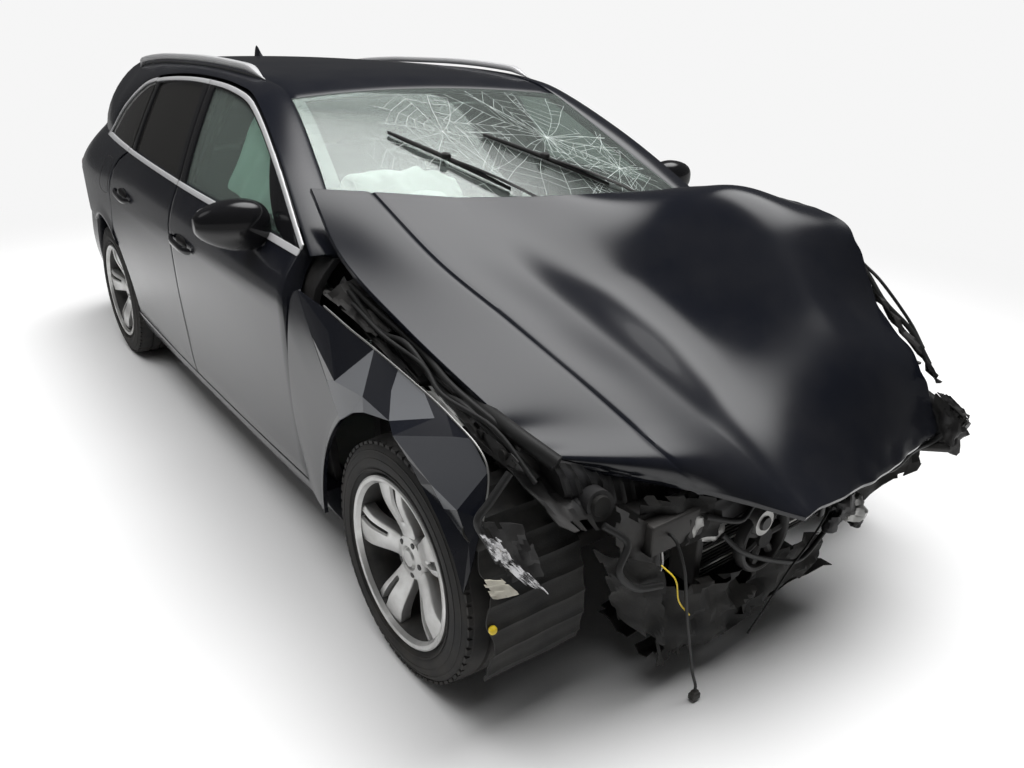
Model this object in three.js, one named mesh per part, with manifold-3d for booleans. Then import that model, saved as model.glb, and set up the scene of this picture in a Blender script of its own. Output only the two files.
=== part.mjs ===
// Crashed mid-size estate car, standing on its wheels, its nose stripped and its bonnet folded.
// Millimetres, +X to the car's left, -Y forward, +Z up. Stations in y count from the front axle.
import * as THREE from 'three';
import { mergeVertices } from 'three/addons/utils/BufferGeometryUtils.js';
import Module from 'manifold-3d';

const wasm = await Module();
wasm.setup();

// Driving dimensions
const FRONT_AXLE_FROM_MIDDLE = 1573.3;
const WHEELBASE = 2820;
const HUB_HEIGHT = 326;
const FRONT_HALF_TRACK = 786;
const REAR_HALF_TRACK = 778;
const WHEEL_FACETS = 24;
const TREAD_RADIUS = HUB_HEIGHT / Math.cos(Math.PI / WHEEL_FACETS);
const TYRE_HALF_WIDTH = 114;
const RIM_RADIUS = 216;
const SEAT_GAP = 0.3;
const DOOR_DEPTH = 58;
const DOOR_FRAME_DEPTH = 34;
const POST_DEPTH = [68, 92];
const POST_LOW = 230;
const SILL_INNER_X = 745;
const SHOULDER_HEIGHT = 870;
const SIDE_LEAN = 0.47;
const SIDE_CURVE = 0.000264;
const FRONT_DOOR_FRONT = 566;
const FRONT_DOOR_REAR = 1600;
const REAR_DOOR_FRONT = 1607;
const PILLAR_RAKE = 95;
const DOOR_GAP = 10;
const GLASS_DEPTH = [12, 17];
const REAR_ARCH_RADIUS = 386;
const BUMPER_TOP = 655;
const QUARTER_REAR = 3650;

// Reading tables
function lerp(a, b, t) {
  return a + (b - a) * t;
}

// Smooth reading of column `col` of rows ordered by their first column
function reader(rows, col = 1) {
  const slope = (i) => {
    const a = rows[Math.max(i - 1, 0)];
    const b = rows[Math.min(i + 1, rows.length - 1)];
    return (b[col] - a[col]) / (b[0] - a[0]);
  };
  return (at) => {
    if (at <= rows[0][0]) return rows[0][col];
    let i = 0;
    while (i < rows.length - 2 && at > rows[i + 1][0]) i += 1;
    const p = rows[i];
    const q = rows[i + 1];
    if (at >= q[0]) return q[col];
    const span = q[0] - p[0];
    const t = (at - p[0]) / span;
    const rise = t * t * (3 - 2 * t);
    const bend = t * (1 - t);
    return lerp(p[col], q[col], rise) + span * bend * ((1 - t) * slope(i) - t * slope(i + 1));
  };
}

// Body side by station: y, shoulder half width, belt half width, belt height
const SIDE_ROWS = [
  [-700, 860, 780, 930],
  [0, 905, 815, 955],
  [550, 913, 832, 990],
  [1000, 919, 850, 1015],
  [1560, 921, 862, 1040],
  [2300, 919, 845, 1070],
  [2980, 905, 775, 1078],
  [3400, 855, 700, 1076],
  [3700, 745, 610, 1068],
];
const shoulderX = reader(SIDE_ROWS, 1);
const beltX = reader(SIDE_ROWS, 2);
const beltZ = reader(SIDE_ROWS, 3);
// Tuck of the lower body side: height, inset from the shoulder
const tuck = reader([[160, 105], [230, 62], [300, 36], [450, 20], [650, 6], [870, 0]]);

// Half width of the body side at a station and a height
function halfWidth(y, z) {
  if (z <= SHOULDER_HEIGHT) return shoulderX(y) - tuck(z);
  const up = z - beltZ(y);
  if (up <= 0) {
    const t = (z - SHOULDER_HEIGHT) / (beltZ(y) - SHOULDER_HEIGHT);
    return lerp(shoulderX(y), beltX(y), t ** 1.6);
  }
  return beltX(y) - SIDE_LEAN * up - SIDE_CURVE * up * up;
}

// Pillar and roof side strip: lower line y, z; roof line x, y, z; bulge
const STRIP_ROWS = [
  [545, 992, 735, 520, 988, 6],
  [910, 1200, 640, 880, 1187, 8],
  [1245, 1348, 574, 1205, 1353, 10],
  [1435, 1384, 572, 1400, 1402, 10],
  [1700, 1398, 582, 1690, 1422, 10],
  [2000, 1395, 582, 2000, 1428, 12],
  [2340, 1371, 568, 2340, 1426, 14],
  [2560, 1332, 556, 2600, 1422, 20],
  [2820, 1222, 535, 2900, 1413, 34],
  [2985, 1088, 515, 3120, 1404, 44],
  [3330, 1082, 496, 3330, 1392, 46],
  [3558, 1076, 482, 3440, 1382, 46],
];
const STRIP_END = STRIP_ROWS.length - 1;
const STRIP_TOP_OF_GLASS = 2;
const stripRows = STRIP_ROWS.map((row, i) => [i, ...row]);
const strip = [1, 2, 3, 4, 5, 6].map((col) => reader(stripRows, col));
// Top line of the doors in side view
const doorLine = reader(STRIP_ROWS.map((row) => [row[0], row[1]]));
const roofEdgeZ = reader(STRIP_ROWS.map((row) => [row[3], row[4]]));

function stripPoint(side, u, t, lift = 0) {
  const y = strip[0](u);
  const z = strip[1](u);
  const out = strip[5](u) * 4 * t * (1 - t) + lift;
  const x = lerp(halfWidth(y, z), strip[2](u), t) + out * lerp(0.9, 0.25, t);
  return [side * x, lerp(y, strip[3](u), t), lerp(z, strip[4](u), t) + out * lerp(0.4, 0.97, t)];
}

// Solids
function solid(geometry) {
  const bare = geometry.clone();
  for (const name of Object.keys(bare.attributes)) {
    if (name !== 'position') bare.deleteAttribute(name);
  }
  const merged = mergeVertices(bare, 1e-3);
  const vertProperties = new Float32Array(merged.attributes.position.array);
  const triVerts = new Uint32Array(merged.index.array);
  const body = new wasm.Manifold(new wasm.Mesh({ numProp: 3, vertProperties, triVerts }));
  if (body.volume() > 0) return body;
  for (let i = 0; i < triVerts.length; i += 3) {
    [triVerts[i], triVerts[i + 1]] = [triVerts[i + 1], triVerts[i]];
  }
  return new wasm.Manifold(new wasm.Mesh({ numProp: 3, vertProperties, triVerts }));
}

function join(...bodies) {
  return bodies.reduce((a, b) => a.add(b));
}

// Trims a body back from its neighbour and from the neighbour moved by a small gap
function fit(body, neighbour, gap) {
  const parts = body.subtract(neighbour).subtract(neighbour.translate(gap)).decompose();
  return parts.reduce((a, b) => (b.volume() > a.volume() ? b : a));
}

// Closed panel between an outer and an inner surface over s, t in 0..1
function shell(columns, rows, outer, inner) {
  const box = new THREE.BoxGeometry(1, 1, 1, columns, rows, 1);
  const at = box.attributes.position;
  for (let i = 0; i < at.count; i += 1) {
    const face = at.getZ(i) > 0 ? outer : inner;
    at.setXYZ(i, ...face(at.getX(i) + 0.5, at.getY(i) + 0.5));
  }
  return solid(box);
}

function block(x0, x1, y0, y1, z0, z1) {
  const box = new THREE.BoxGeometry(x1 - x0, y1 - y0, z1 - z0);
  return solid(box.translate((x0 + x1) / 2, (y0 + y1) / 2, (z0 + z1) / 2));
}

// Prism with a y, z outline between two x planes
function sidePrism(outline, x0, x1) {
  const shape = new THREE.Shape(outline.map(([y, z]) => new THREE.Vector2(y, z)));
  const prism = new THREE.ExtrudeGeometry(shape, { depth: x1 - x0, bevelEnabled: false });
  const axes = new THREE.Matrix4().makeBasis(
    new THREE.Vector3(0, 1, 0), new THREE.Vector3(0, 0, 1), new THREE.Vector3(1, 0, 0));
  return solid(prism.applyMatrix4(axes).translate(x0, 0, 0));
}

// Prism with an x, y outline between two heights
function floorPrism(outline, z0, z1) {
  const shape = new THREE.Shape(outline.map(([x, y]) => new THREE.Vector2(x, y)));
  const prism = new THREE.ExtrudeGeometry(shape, { depth: z1 - z0, bevelEnabled: false });
  return solid(prism.translate(0, 0, z0));
}

// Round bar along X
function drum(radius, x0, x1, y, z, sides = 20) {
  const bar = new THREE.CylinderGeometry(radius, radius, Math.abs(x1 - x0), sides);
  return solid(bar.rotateZ(Math.PI / 2).translate((x0 + x1) / 2, y, z));
}

// Round bar between two points
function rod(radius, from, to, sides = 10) {
  const a = new THREE.Vector3(...from);
  const b = new THREE.Vector3(...to);
  const along = b.clone().sub(a);
  const bar = new THREE.CylinderGeometry(radius, radius, along.length(), sides);
  const turn = new THREE.Quaternion().setFromUnitVectors(new THREE.Vector3(0, 1, 0), along.normalize());
  return solid(bar.applyQuaternion(turn).translate(...a.lerp(b, 0.5).toArray()));
}

// Tube along a smooth path
function tube(radius, points, steps, sides = 8) {
  const path = new THREE.CatmullRomCurve3(points.map((p) => new THREE.Vector3(...p)));
  const ring = [];
  for (let i = 0; i < sides; i += 1) {
    const turn = (2 * Math.PI * i) / sides;
    ring.push(new THREE.Vector2(radius * Math.cos(turn), radius * Math.sin(turn)));
  }
  return solid(new THREE.ExtrudeGeometry(new THREE.Shape(ring), { steps, extrudePath: path }));
}

// Ring turned about the X axis from o, r pairs, o outward from the wheel's middle plane
function turned(profile, side, centre, segments) {
  const points = [...profile, profile[0]].map(([o, r]) => new THREE.Vector2(r, o));
  const ring = new THREE.LatheGeometry(points, segments).rotateZ(-Math.PI / 2).rotateX(Math.PI / segments);
  if (side < 0) ring.rotateY(Math.PI);
  return solid(ring.translate(...centre));
}

const car = new THREE.Group();
car.position.y = -FRONT_AXLE_FROM_MIDDLE;

function look(color, roughness, metalness = 0) {
  return { color, roughness, metalness };
}
const PAINT = look(0x0b0c10, 0.28, 0.3);
const GLASS = look(0x9fb8b0, 0.08);
const DARK_GLASS = look(0x0d0f10, 0.08);
const BLACK_PLASTIC = look(0x141414, 0.6);
const METAL = look(0x3a3a3a, 0.5, 0.8);
const ALLOY = look(0xb9b8b4, 0.35, 0.9);
const RUBBER = look(0x161616, 0.85);
const TRIM_CLOTH = look(0x24262a, 0.9);
const BAG = look(0xdfe3df, 0.9);
const CHROME = look(0xc8c8c8, 0.15, 1);
const RED_LAMP = look(0x7a0f12, 0.15);

function piece(name, body, finish) {
  const made = body.getMesh();
  const geometry = new THREE.BufferGeometry();
  geometry.setAttribute('position', new THREE.BufferAttribute(new Float32Array(made.vertProperties), 3));
  geometry.setIndex(new THREE.BufferAttribute(new Uint32Array(made.triVerts), 1));
  const mesh = new THREE.Mesh(geometry, new THREE.MeshStandardMaterial(finish));
  mesh.name = name;
  car.add(mesh);
}

const SIDES = [['right', -1], ['left', 1]];

// Areas of the body side: s runs rearward, t upward
function area(front, rear, low, high) {
  return (s, t) => {
    const y = lerp(front(t), rear(t), s);
    return [y, lerp(low(y), high(y), t)];
  };
}

function sidePanel(side, columns, rows, where, depth0, depth1) {
  const at = (depth) => (s, t) => {
    const [y, z] = where(s, t);
    return [side * (halfWidth(y, z) - depth), y, z];
  };
  return shell(columns, rows, at(depth0), at(depth1));
}

function outlineOf(where, perEdge) {
  const edges = [(k) => [k, 0], (k) => [1, k], (k) => [1 - k, 1], (k) => [0, 1 - k]];
  const points = [];
  for (const edge of edges) {
    for (let i = 0; i < perEdge; i += 1) points.push(where(...edge(i / perEdge)));
  }
  return points;
}

const doorBottom = reader([[400, 296], [1600, 296], [2300, 316], [3000, 331]]);
const beltSeam = (y) => beltZ(y) - 12;
// Rear edge of the rear doors: height, y; round the wheel arch, then up and forward to the belt
const rearEdge = reader([[330, 2426], [400, 2433], [500, 2467], [600, 2537], [660, 2592], [720, 2588],
  [810, 2540], [900, 2512], [970, 2500], [1020, 2452], [1060, 2352]]);
const QUARTER_LOW = 615;
const QUARTER_GAP = 9;
const BELT_AT_QUARTER = beltZ(2420);
const doorRear = (t) => rearEdge(lerp(319, BELT_AT_QUARTER - 12, t));
const quarterFront = (t) => rearEdge(lerp(QUARTER_LOW, BELT_AT_QUARTER, t)) + QUARTER_GAP;
const pillarLine = (start) => (t) => start + PILLAR_RAKE * t;

// Doors: name, lower panel front and rear edges, frame front and rear edges, pane margins
const DOORS = [
  {
    name: 'front',
    lower: [() => FRONT_DOOR_FRONT, () => FRONT_DOOR_REAR],
    frame: [(t) => FRONT_DOOR_FRONT + 34 + 60 * t, pillarLine(FRONT_DOOR_REAR)],
    pane: [(t) => 730 + 250 * t, pillarLine(FRONT_DOOR_REAR - 55)],
  },
  {
    name: 'rear',
    lower: [() => REAR_DOOR_FRONT, doorRear],
    frame: [pillarLine(REAR_DOOR_FRONT), (t) => 2312 + 28 * t],
    pane: [pillarLine(REAR_DOOR_FRONT + 50), (t) => 2264 + 28 * t],
  },
];

function mirrorHousing(side) {
  const cap = new THREE.SphereGeometry(1, 10, 7).scale(104, 62, 78);
  const housing = solid(cap.translate(side * 940, 842, 1036));
  return join(housing, rod(24, [side * 915, 825, 985], [side * 815, 790, 975]));
}

const doorBodies = {};
for (const [hand, side] of SIDES) {
  for (const door of DOORS) {
    const lower = area(...door.lower, doorBottom, beltSeam);
    const frame = area(...door.frame, (y) => beltZ(y) - 40, (y) => doorLine(y) - DOOR_GAP);
    const pane = area(...door.pane, (y) => beltZ(y) + 8, (y) => doorLine(y) - 34);
    const panel = sidePanel(side, 4, 12, lower, 0, DOOR_DEPTH);
    const ring = sidePanel(side, 7, 3, frame, 0, DOOR_FRAME_DEPTH);
    const cut = outlineOf(pane, 5);
    const opening = sidePrism(cut, side > 0 ? 400 : -1000, side > 0 ? 1000 : -400);
    let body = join(panel, ring).subtract(opening);
    if (door.name === 'front') body = join(body, mirrorHousing(side));
    doorBodies[`${door.name}_${hand}`] = body;
    piece(`door_${door.name}_${hand}`, body, PAINT);
    const inset = 1 - 0.003;
    const glazed = (s, t) => pane(lerp(1 - inset, inset, s), lerp(1 - inset, inset, t));
    const glass = sidePanel(side, 5, 5, glazed, ...GLASS_DEPTH);
    piece(`glass_${door.name}_${hand}`, glass, door.name === 'front' ? GLASS : DARK_GLASS);
  }
}

// Body sides: sill, posts, roof strip and rear quarter
const LAMP_AREA = area(() => 3420, () => QUARTER_REAR, () => 745, () => 905);
const quarterRear = (t) => lerp(QUARTER_REAR, 3562, Math.max(0, (t - 0.55) / 0.45) ** 1.5);
const QUARTER_PANE = area((t) => 2352 + 28 * t, () => 2968, (y) => beltZ(y) + 2, (y) => doorLine(y) + 2);

// Hinge leaves: door, y, z
const DOOR_HINGES = [['front', 576, 470], ['front', 576, 760], ['rear', 1616, 470], ['rear', 1622, 760]];

function sideFrame(hand, side) {
  const sillFace = (s, t) => [lerp(480, 2470, s), lerp(165, doorBottom(lerp(480, 2470, s)) - 7, t)];
  const sillOuter = (s, t) => {
    const [y, z] = sillFace(s, t);
    return [side * halfWidth(y, z), y, z];
  };
  const sillInner = (s, t) => {
    const [y, z] = sillFace(s, t);
    return [side * SILL_INNER_X, y, z];
  };
  const roofSide = shell(2 * STRIP_END, 3, (s, t) => stripPoint(side, s * STRIP_END, t), (s, t) => {
    const [x, y, z] = stripPoint(side, s * STRIP_END, t);
    return [x - side * 96 * (1 - t), y, z - lerp(8, 42, t)];
  });
  const post = (front, rear, high) => sidePanel(side, 2, 10,
    area(front, rear, () => POST_LOW, high), ...POST_DEPTH);
  const postLine = (t) => rearEdge(lerp(POST_LOW, BELT_AT_QUARTER, t));
  const frontPost = post(() => 520, () => 640, () => 982);
  const middlePost = post((t) => 1545 + 85 * t, (t) => 1665 + 85 * t, (y) => doorLine(y) - 3);
  const rearPost = post((t) => postLine(t) - 40, (t) => postLine(t) + 70, () => BELT_AT_QUARTER);
  const rearUpper = sidePanel(side, 2, 3,
    area((t) => 2296 + 28 * t, (t) => 2346 + 28 * t, (y) => beltZ(y) - 30, (y) => doorLine(y) - 3),
    ...POST_DEPTH);
  const quarter = sidePanel(side, 9, 8,
    area(quarterFront, quarterRear, () => QUARTER_LOW, (y) => beltZ(y) + 5), 0, POST_DEPTH[1]);
  const hinges = [];
  for (const [door, y, z] of DOOR_HINGES) {
    const x = [side * (halfWidth(y, z) - DOOR_DEPTH + 3), side * (halfWidth(y, z) - POST_DEPTH[1])];
    const leaf = block(...x.sort((a, b) => a - b), y, y + 28, z - 30, z + 30);
    hinges.push(fit(leaf, doorBodies[`${door}_${hand}`], [-side * 0.6, 0, 0]));
  }
  const outward = side > 0 ? [600, 1000] : [-1000, -600];
  const arch = drum(REAR_ARCH_RADIUS, ...outward, WHEELBASE, HUB_HEIGHT, 24);
  const behind = block(...outward, WHEELBASE + 200, 3900, 100, BUMPER_TOP + 0.6);
  const lampHole = sidePrism(outlineOf(LAMP_AREA, 2), ...outward);
  return join(shell(8, 3, sillOuter, sillInner), roofSide, frontPost, middlePost, rearPost, rearUpper,
    quarter.subtract(lampHole), ...hinges).subtract(arch).subtract(behind);
}

const sideFrames = {};
for (const [hand, side] of SIDES) {
  const body = sideFrame(hand, side);
  sideFrames[hand] = body;
  piece(`side_frame_${hand}`, body, PAINT);
  const pane = sidePanel(side, 6, 4, QUARTER_PANE, ...GLASS_DEPTH);
  piece(`glass_quarter_${hand}`, fit(fit(pane, body, [0, 0, 0.4]), body, [0, 0, -0.4]), DARK_GLASS);
  const lamp = (s, t) => LAMP_AREA(lerp(0.002, 1, s), lerp(0.004, 0.996, t));
  piece(`tail_lamp_${hand}`, sidePanel(side, 4, 2, lamp, 0, 60), RED_LAMP);
  const railEnds = [2.9, 8.95];
  const railAt = (lift) => (s, t) => stripPoint(side, lerp(...railEnds, s), lerp(0.72, 0.97, t), lift);
  const railTop = (s, t) => railAt(0.5 + 34 * Math.min(1, 6 * s, 6 * (1 - s)) + 3)(s, t);
  piece(`roof_rail_${hand}`, fit(shell(13, 1, railTop, railAt(0.5)), body, [0, 0, 0.4]), CHROME);
}

// Tailgate: height, edge x, edge y, bow of the middle
const TAILGATE_ROWS = [
  [662, 728, 3706, 116],
  [860, 722, 3708, 112],
  [1072, 622, 3652, 100],
  [1362, 466, 3508, 62],
];
const gate = [1, 2, 3].map((col) => reader(TAILGATE_ROWS, col));
function gatePoint(depth) {
  return (s, t) => {
    const across = 2 * s - 1;
    const z = lerp(662, 1362, t);
    const y = gate[1](z) + gate[2](z) * (1 - across ** 2) - depth;
    return [across * gate[0](z), y, z - depth * 0.2 * t];
  };
}
function gateBand(s0, s1, t0, t1, columns, rows, depth0, depth1) {
  const at = (depth) => (s, t) => gatePoint(depth)(lerp(s0, s1, s), lerp(t0, t1, t));
  return shell(columns, rows, at(depth0), at(depth1));
}
const gateCut = gateBand(0.11, 0.89, 0.6, 0.95, 6, 3, -60, 120);
piece('tailgate', gateBand(0, 1, 0, 1, 8, 7, 0, 42).subtract(gateCut), PAINT);
piece('glass_rear', gateBand(0.111, 0.889, 0.602, 0.948, 6, 3, 6, 12), DARK_GLASS);

// Roof panel between the side strips
const ROOF_CROWN = 24;
const ROOF_FRONT_BOW = 55;
function roofPoint(drop) {
  return (s, t) => {
    const across = 2 * s - 1;
    const bowed = 1 - across * across;
    const u = lerp(STRIP_TOP_OF_GLASS, STRIP_END, t);
    const y = strip[3](u) + lerp(ROOF_FRONT_BOW, 30, t) * bowed;
    return [across * (strip[2](u) - 0.5), y, strip[4](u) + ROOF_CROWN * bowed - drop];
  };
}
const FIN = [[2880, 0], [3010, 0], [2985, 26], [2950, 52], [2938, 54]];
const FIN_ROOT = 6;
const finBase = roofEdgeZ(2940) + ROOF_CROWN - FIN_ROOT;
const fin = sidePrism(FIN.map(([y, z]) => [y, finBase + z]), -9, 9);
piece('roof_panel', join(shell(6, 18, roofPoint(0), roofPoint(22)), fin), PAINT);

// Windscreen between the pillars
const SCREEN_BASE_BOW = 62;
function screenPoint(lift) {
  return (s, t) => {
    const across = 2 * s - 1;
    const bowed = 1 - across * across;
    const u = STRIP_TOP_OF_GLASS * t;
    const y = strip[3](u) + lerp(-SCREEN_BASE_BOW, ROOF_FRONT_BOW, t) * bowed - 3.7 * t;
    const z = strip[4](u) + lerp(16, ROOF_CROWN, t) * bowed;
    return [across * (strip[2](u) - 0.9), y - 0.5 * lift, z + 0.86 * lift];
  };
}
const screen = shell(6, 4, screenPoint(0), screenPoint(-6));
piece('windscreen', screen, GLASS);

// Wipers lying on the glass: name, pivot s, t, tip s, t
const WIPERS = [['right', 0.51, 0.1, 0.225, 0.63], ['left', 0.83, 0.08, 0.515, 0.57]];
for (const [hand, s0, t0, s1, t1] of WIPERS) {
  const bar = (lift) => (s, t) => {
    const skew = (t - 0.5) * 0.022;
    return screenPoint(lift)(lerp(s0, s1, s) + skew, lerp(t0, t1, s) + skew * 0.6);
  };
  piece(`wiper_${hand}`, fit(shell(8, 1, bar(18), bar(0)), screen, [0, -0.2, 0.4]), BLACK_PLASTIC);
}

// Rear bumper in plan from the middle to the arch: share, x, y
const BUMPER_PLAN = [[0, 0, 3847], [0.35, 420, 3832], [0.62, 715, 3762], [0.78, 806, 3660], [1, 868, 3222]];
const bumperX = reader(BUMPER_PLAN, 1);
const bumperY = reader(BUMPER_PLAN, 2);
const bumperTuck = reader([[225, 80], [300, 24], [450, 0], [655, 12]]);
function bumperPoint(depth) {
  return (s, t) => {
    const across = 2 * s - 1;
    const part = Math.abs(across);
    const z = lerp(225, BUMPER_TOP, t);
    const inset = depth + bumperTuck(z);
    const x = bumperX(part) - inset * Math.min(1, part * 1.25);
    return [Math.sign(across) * Math.max(x, 0), bumperY(part) - inset * Math.min(1, 4 * (1 - part)), z];
  };
}
piece('rear_bumper', shell(16, 4, bumperPoint(0), bumperPoint(55)), PAINT);

// Bonnet sections from the rear edge to the nose: right edge, crease, middle, fold, dome, left edge
const BONNET_ROWS = [
  [[-768, 655, 1156], [-600, 612, 1140], [-350, 540, 1114],
    [-80, 470, 1106], [250, 430, 1098], [610, 420, 1080]],
  [[-782, 445, 1004], [-560, 330, 996], [-276, 317, 955],
    [80, 370, 985], [320, 250, 1125], [614, 200, 1100]],
  [[-752, 180, 884], [-492, 80, 880], [-200, 110, 858],
    [160, 200, 900], [345, 100, 1140], [614, -20, 1098]],
  [[-706, -98, 772], [-445, -130, 790], [-150, -100, 772],
    [150, 13, 800], [350, -80, 1062], [614, -188, 1050]],
  [[-668, -200, 716], [-402, -300, 706], [-120, -300, 690],
    [70, -192, 712], [330, -290, 892], [614, -330, 842]],
  [[-652, -285, 692], [-376, -420, 650], [-140, -480, 612],
    [-20, -400, 652], [300, -480, 732], [614, -480, 715]],
  [[-642, -312, 680], [-356, -500, 604], [-250, -582, 562],
    [-150, -658, 535], [250, -622, 505], [606, -592, 532]],
];
const BONNET_THICKNESS = 14;
function bonnetPoint(drop) {
  const columns = BONNET_ROWS[0].length - 1;
  const stations = BONNET_ROWS.length - 1;
  return (s, t) => [0, 1, 2].map((axis) => {
    const along = BONNET_ROWS.map((row, i) => [i, reader(row.map((p, k) => [k, p[axis]]))(s * columns)]);
    const value = reader(along)(t * stations);
    return axis === 2 ? value - drop : axis === 1 ? value + drop * 0.4 : value;
  });
}
const bonnet = shell(11, 13, bonnetPoint(0), bonnetPoint(BONNET_THICKNESS));
piece('bonnet', bonnet, PAINT);

// Front wings about the wheel: angle from rearward, arch radius, edge x, y, z
const WING_RIGHT = [
  [-6, 376, 880, 558, 300],
  [20, 378, 912, 558, 560],
  [40, 384, 908, 556, 790],
  [54, 392, 884, 520, 912],
  [70, 400, 852, 250, 862],
  [88, 404, 830, 60, 818],
  [108, 374, 814, -130, 770],
  [128, 354, 806, -262, 706],
  [146, 352, 848, -312, 604],
  [160, 350, 893, -330, 500],
];
const WING_LEFT = [
  [-6, 376, 880, 558, 300],
  [20, 378, 912, 558, 560],
  [40, 384, 908, 556, 790],
  [54, 392, 868, 540, 930],
  [70, 396, 850, 300, 915],
  [88, 396, 830, 60, 880],
  [108, 396, 815, -150, 812],
  [128, 390, 800, -290, 720],
];
const WING_THICKNESS = 9;
function wing(side, rows) {
  const first = rows[0][0];
  const last = rows[rows.length - 1][0];
  const at = (depth) => (s, t) => {
    const angle = lerp(first, last, s);
    const turn = (angle * Math.PI) / 180;
    const radius = reader(rows, 1)(angle);
    const y = lerp(radius * Math.cos(turn), reader(rows, 3)(angle), t);
    const z = lerp(HUB_HEIGHT + radius * Math.sin(turn), reader(rows, 4)(angle), t);
    const arch = angle < 110 ? 911 : 911 - (angle - 110) * 0.1;
    const ripple = side < 0 ? 15 * Math.sin(0.11 * angle) * Math.sin(Math.PI * t) : 0;
    const x = lerp(arch, reader(rows, 2)(angle), t ** 1.6) + ripple - depth;
    return [side * x, y, z];
  };
  return shell(16, 3, at(0), at(WING_THICKNESS));
}
const wings = { right: wing(-1, WING_RIGHT), left: wing(1, WING_LEFT) };
piece('wing_right', wings.right, PAINT);
piece('wing_left', wings.left, PAINT);

// Floor, bulkhead, tunnel, boot floor and rear wheelhouses
function wheelhouse(side) {
  const x = [side * 560, side * 744].sort((a, b) => a - b);
  const outward = side > 0 ? [602, 800] : [-800, -602];
  const arch = drum(REAR_ARCH_RADIUS, ...outward, WHEELBASE, HUB_HEIGHT, 28);
  return block(...x, 2440, 3205, 340, 770).subtract(arch);
}
const FLOOR_HALF = SILL_INNER_X - SEAT_GAP;
const BOOT_MAT_TOP = 380;
const floor = join(
  block(-FLOOR_HALF, FLOOR_HALF, 420, 2480, 178, 208),
  block(-140, 140, 420, 2400, 200, 340),
  block(-700, 700, 2440, 2480, 178, 372),
  block(-562, 562, 2440, 3690, 340, 372),
  block(-545, 545, 2575, 3590, 370, BOOT_MAT_TOP),
  block(-712, 712, 400, 432, 178, 940),
  block(-712, 712, 380, 560, 930, 950),
  wheelhouse(-1), wheelhouse(1),
  fit(block(-662, -636, 438, 474, 940, 1100), bonnet, [0, 0, -0.5]),
  fit(block(562, 588, 384, 414, 940, 1100), bonnet, [0, 0, -0.5]),
);
piece('floor_pan', floor, METAL);

const ENGINE_HALF = 330;
const BALL_JOINT_RADIUS = 60;

// Front structure: legs, inner aprons, towers, upper rails, subframe, arms, struts, bent stub
function frontSide(hand, side) {
  const span = (a, b) => [side * a, side * b].sort((p, q) => p - q);
  const bracket = side < 0 ? [738, 758] : [765, 785];
  const rails = side < 0
    ? [[-700, 388, 830], [-698, 120, 742], [-690, -120, 684], [-640, -300, 590]]
    : [[700, 388, 870], [690, 60, 790], [672, -340, 650], [660, -640, 540]];
  return join(
    block(...span(405, 475), -430, 399.7, 430, 540),
    block(...span(455, 490), -230, 399.7, 500, side < 0 ? 700 : 740),
    block(...span(470, 700), -60, 120, 680, side < 0 ? 720 : 780),
    block(...span(ENGINE_HALF + SEAT_GAP, 410), -40, 60, 440, 500),
    block(...span(485, 700), 370, 399.7, 560, 850),
    tube(24, rails, 6),
    fit(block(...span(690, 914), 100, 140, ...bracket), wings[hand], [-side * 0.5, 0, 0]),
    block(...span(400, 470), 150, 230, 200, 440),
    block(...span(380, FRONT_HALF_TRACK - BALL_JOINT_RADIUS - SEAT_GAP), -25, 55, 185, 222),
    rod(24, [side * 548, 12, 215], [side * 548, 12, 340]),
    rod(44, [side * 548, 12, 330], [side * 548, 12, 700], 14),
  );
}
piece('front_frame', join(
  ...SIDES.map(([hand, side]) => frontSide(hand, side)),
  block(-475, 475, -470, -400, 440, 525),
  block(-430, 430, -70, 250, 178, 235),
  drum(24, -480, 480, 190, 262, 12),
  rod(16, [470, -435, 470], [630, -630, 468]),
  block(606, 652, -700, -600, 445, 600),
), METAL);

// Engine and gearbox, one plain block
piece('engine', sidePrism([[-330, 300], [-330, 540], [-160, 640], [240, 770], [345, 770], [345, 300]],
  -ENGINE_HALF, ENGINE_HALF), METAL);

// Crushed radiator pack with its fan ring
piece('radiator', join(
  block(-250, 330, -440, -350, 250, 439.7),
  sidePrism([[-500, 300], [-520, 420], [-430, 430], [-430, 280]], -60, 160),
), BLACK_PLASTIC);

// Torn undertray below the nose
const TRAY = [[-430, -250], [-440, -470], [-300, -500], [-180, -470], [-40, -520], [120, -480],
  [250, -500], [330, -330], [300, -90], [-360, -90]];
piece('undertray', join(
  floorPrism(TRAY, 110, 160),
  block(-300, 200, -300, -70.3, 150, 225),
), BLACK_PLASTIC);

// Front half of the right arch liner about the wheel, and the smashed headlamp on it
const LINER_RADIUS = [382, 390];
function linerPoint(radius) {
  return (s, t) => {
    const turn = (lerp(146, 197, t) * Math.PI) / 180;
    return [lerp(-850, -570, s), radius * Math.cos(turn), HUB_HEIGHT + radius * Math.sin(turn)];
  };
}
const liner = shell(2, 10, linerPoint(LINER_RADIUS[1]), linerPoint(LINER_RADIUS[0]));
const linerStay = block(-640, -475.3, -440, -330, 480, 520);
const wheelRoom = drum(LINER_RADIUS[0], -900, -400, 0, HUB_HEIGHT, 48);
const archLiner = join(liner, linerStay.subtract(wheelRoom));
piece('arch_liner_right', archLiner, BLACK_PLASTIC);
const LAMP = [[-330, 430], [-468, 440], [-482, 520], [-440, 560], [-400, 556], [-330, 500]];
const lampBody = fit(sidePrism(LAMP, -848, -740), archLiner, [0, -0.5, 0]);
piece('headlamp_right', fit(lampBody, wings.right, [0.5, 0, 0]), CHROME);

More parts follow.
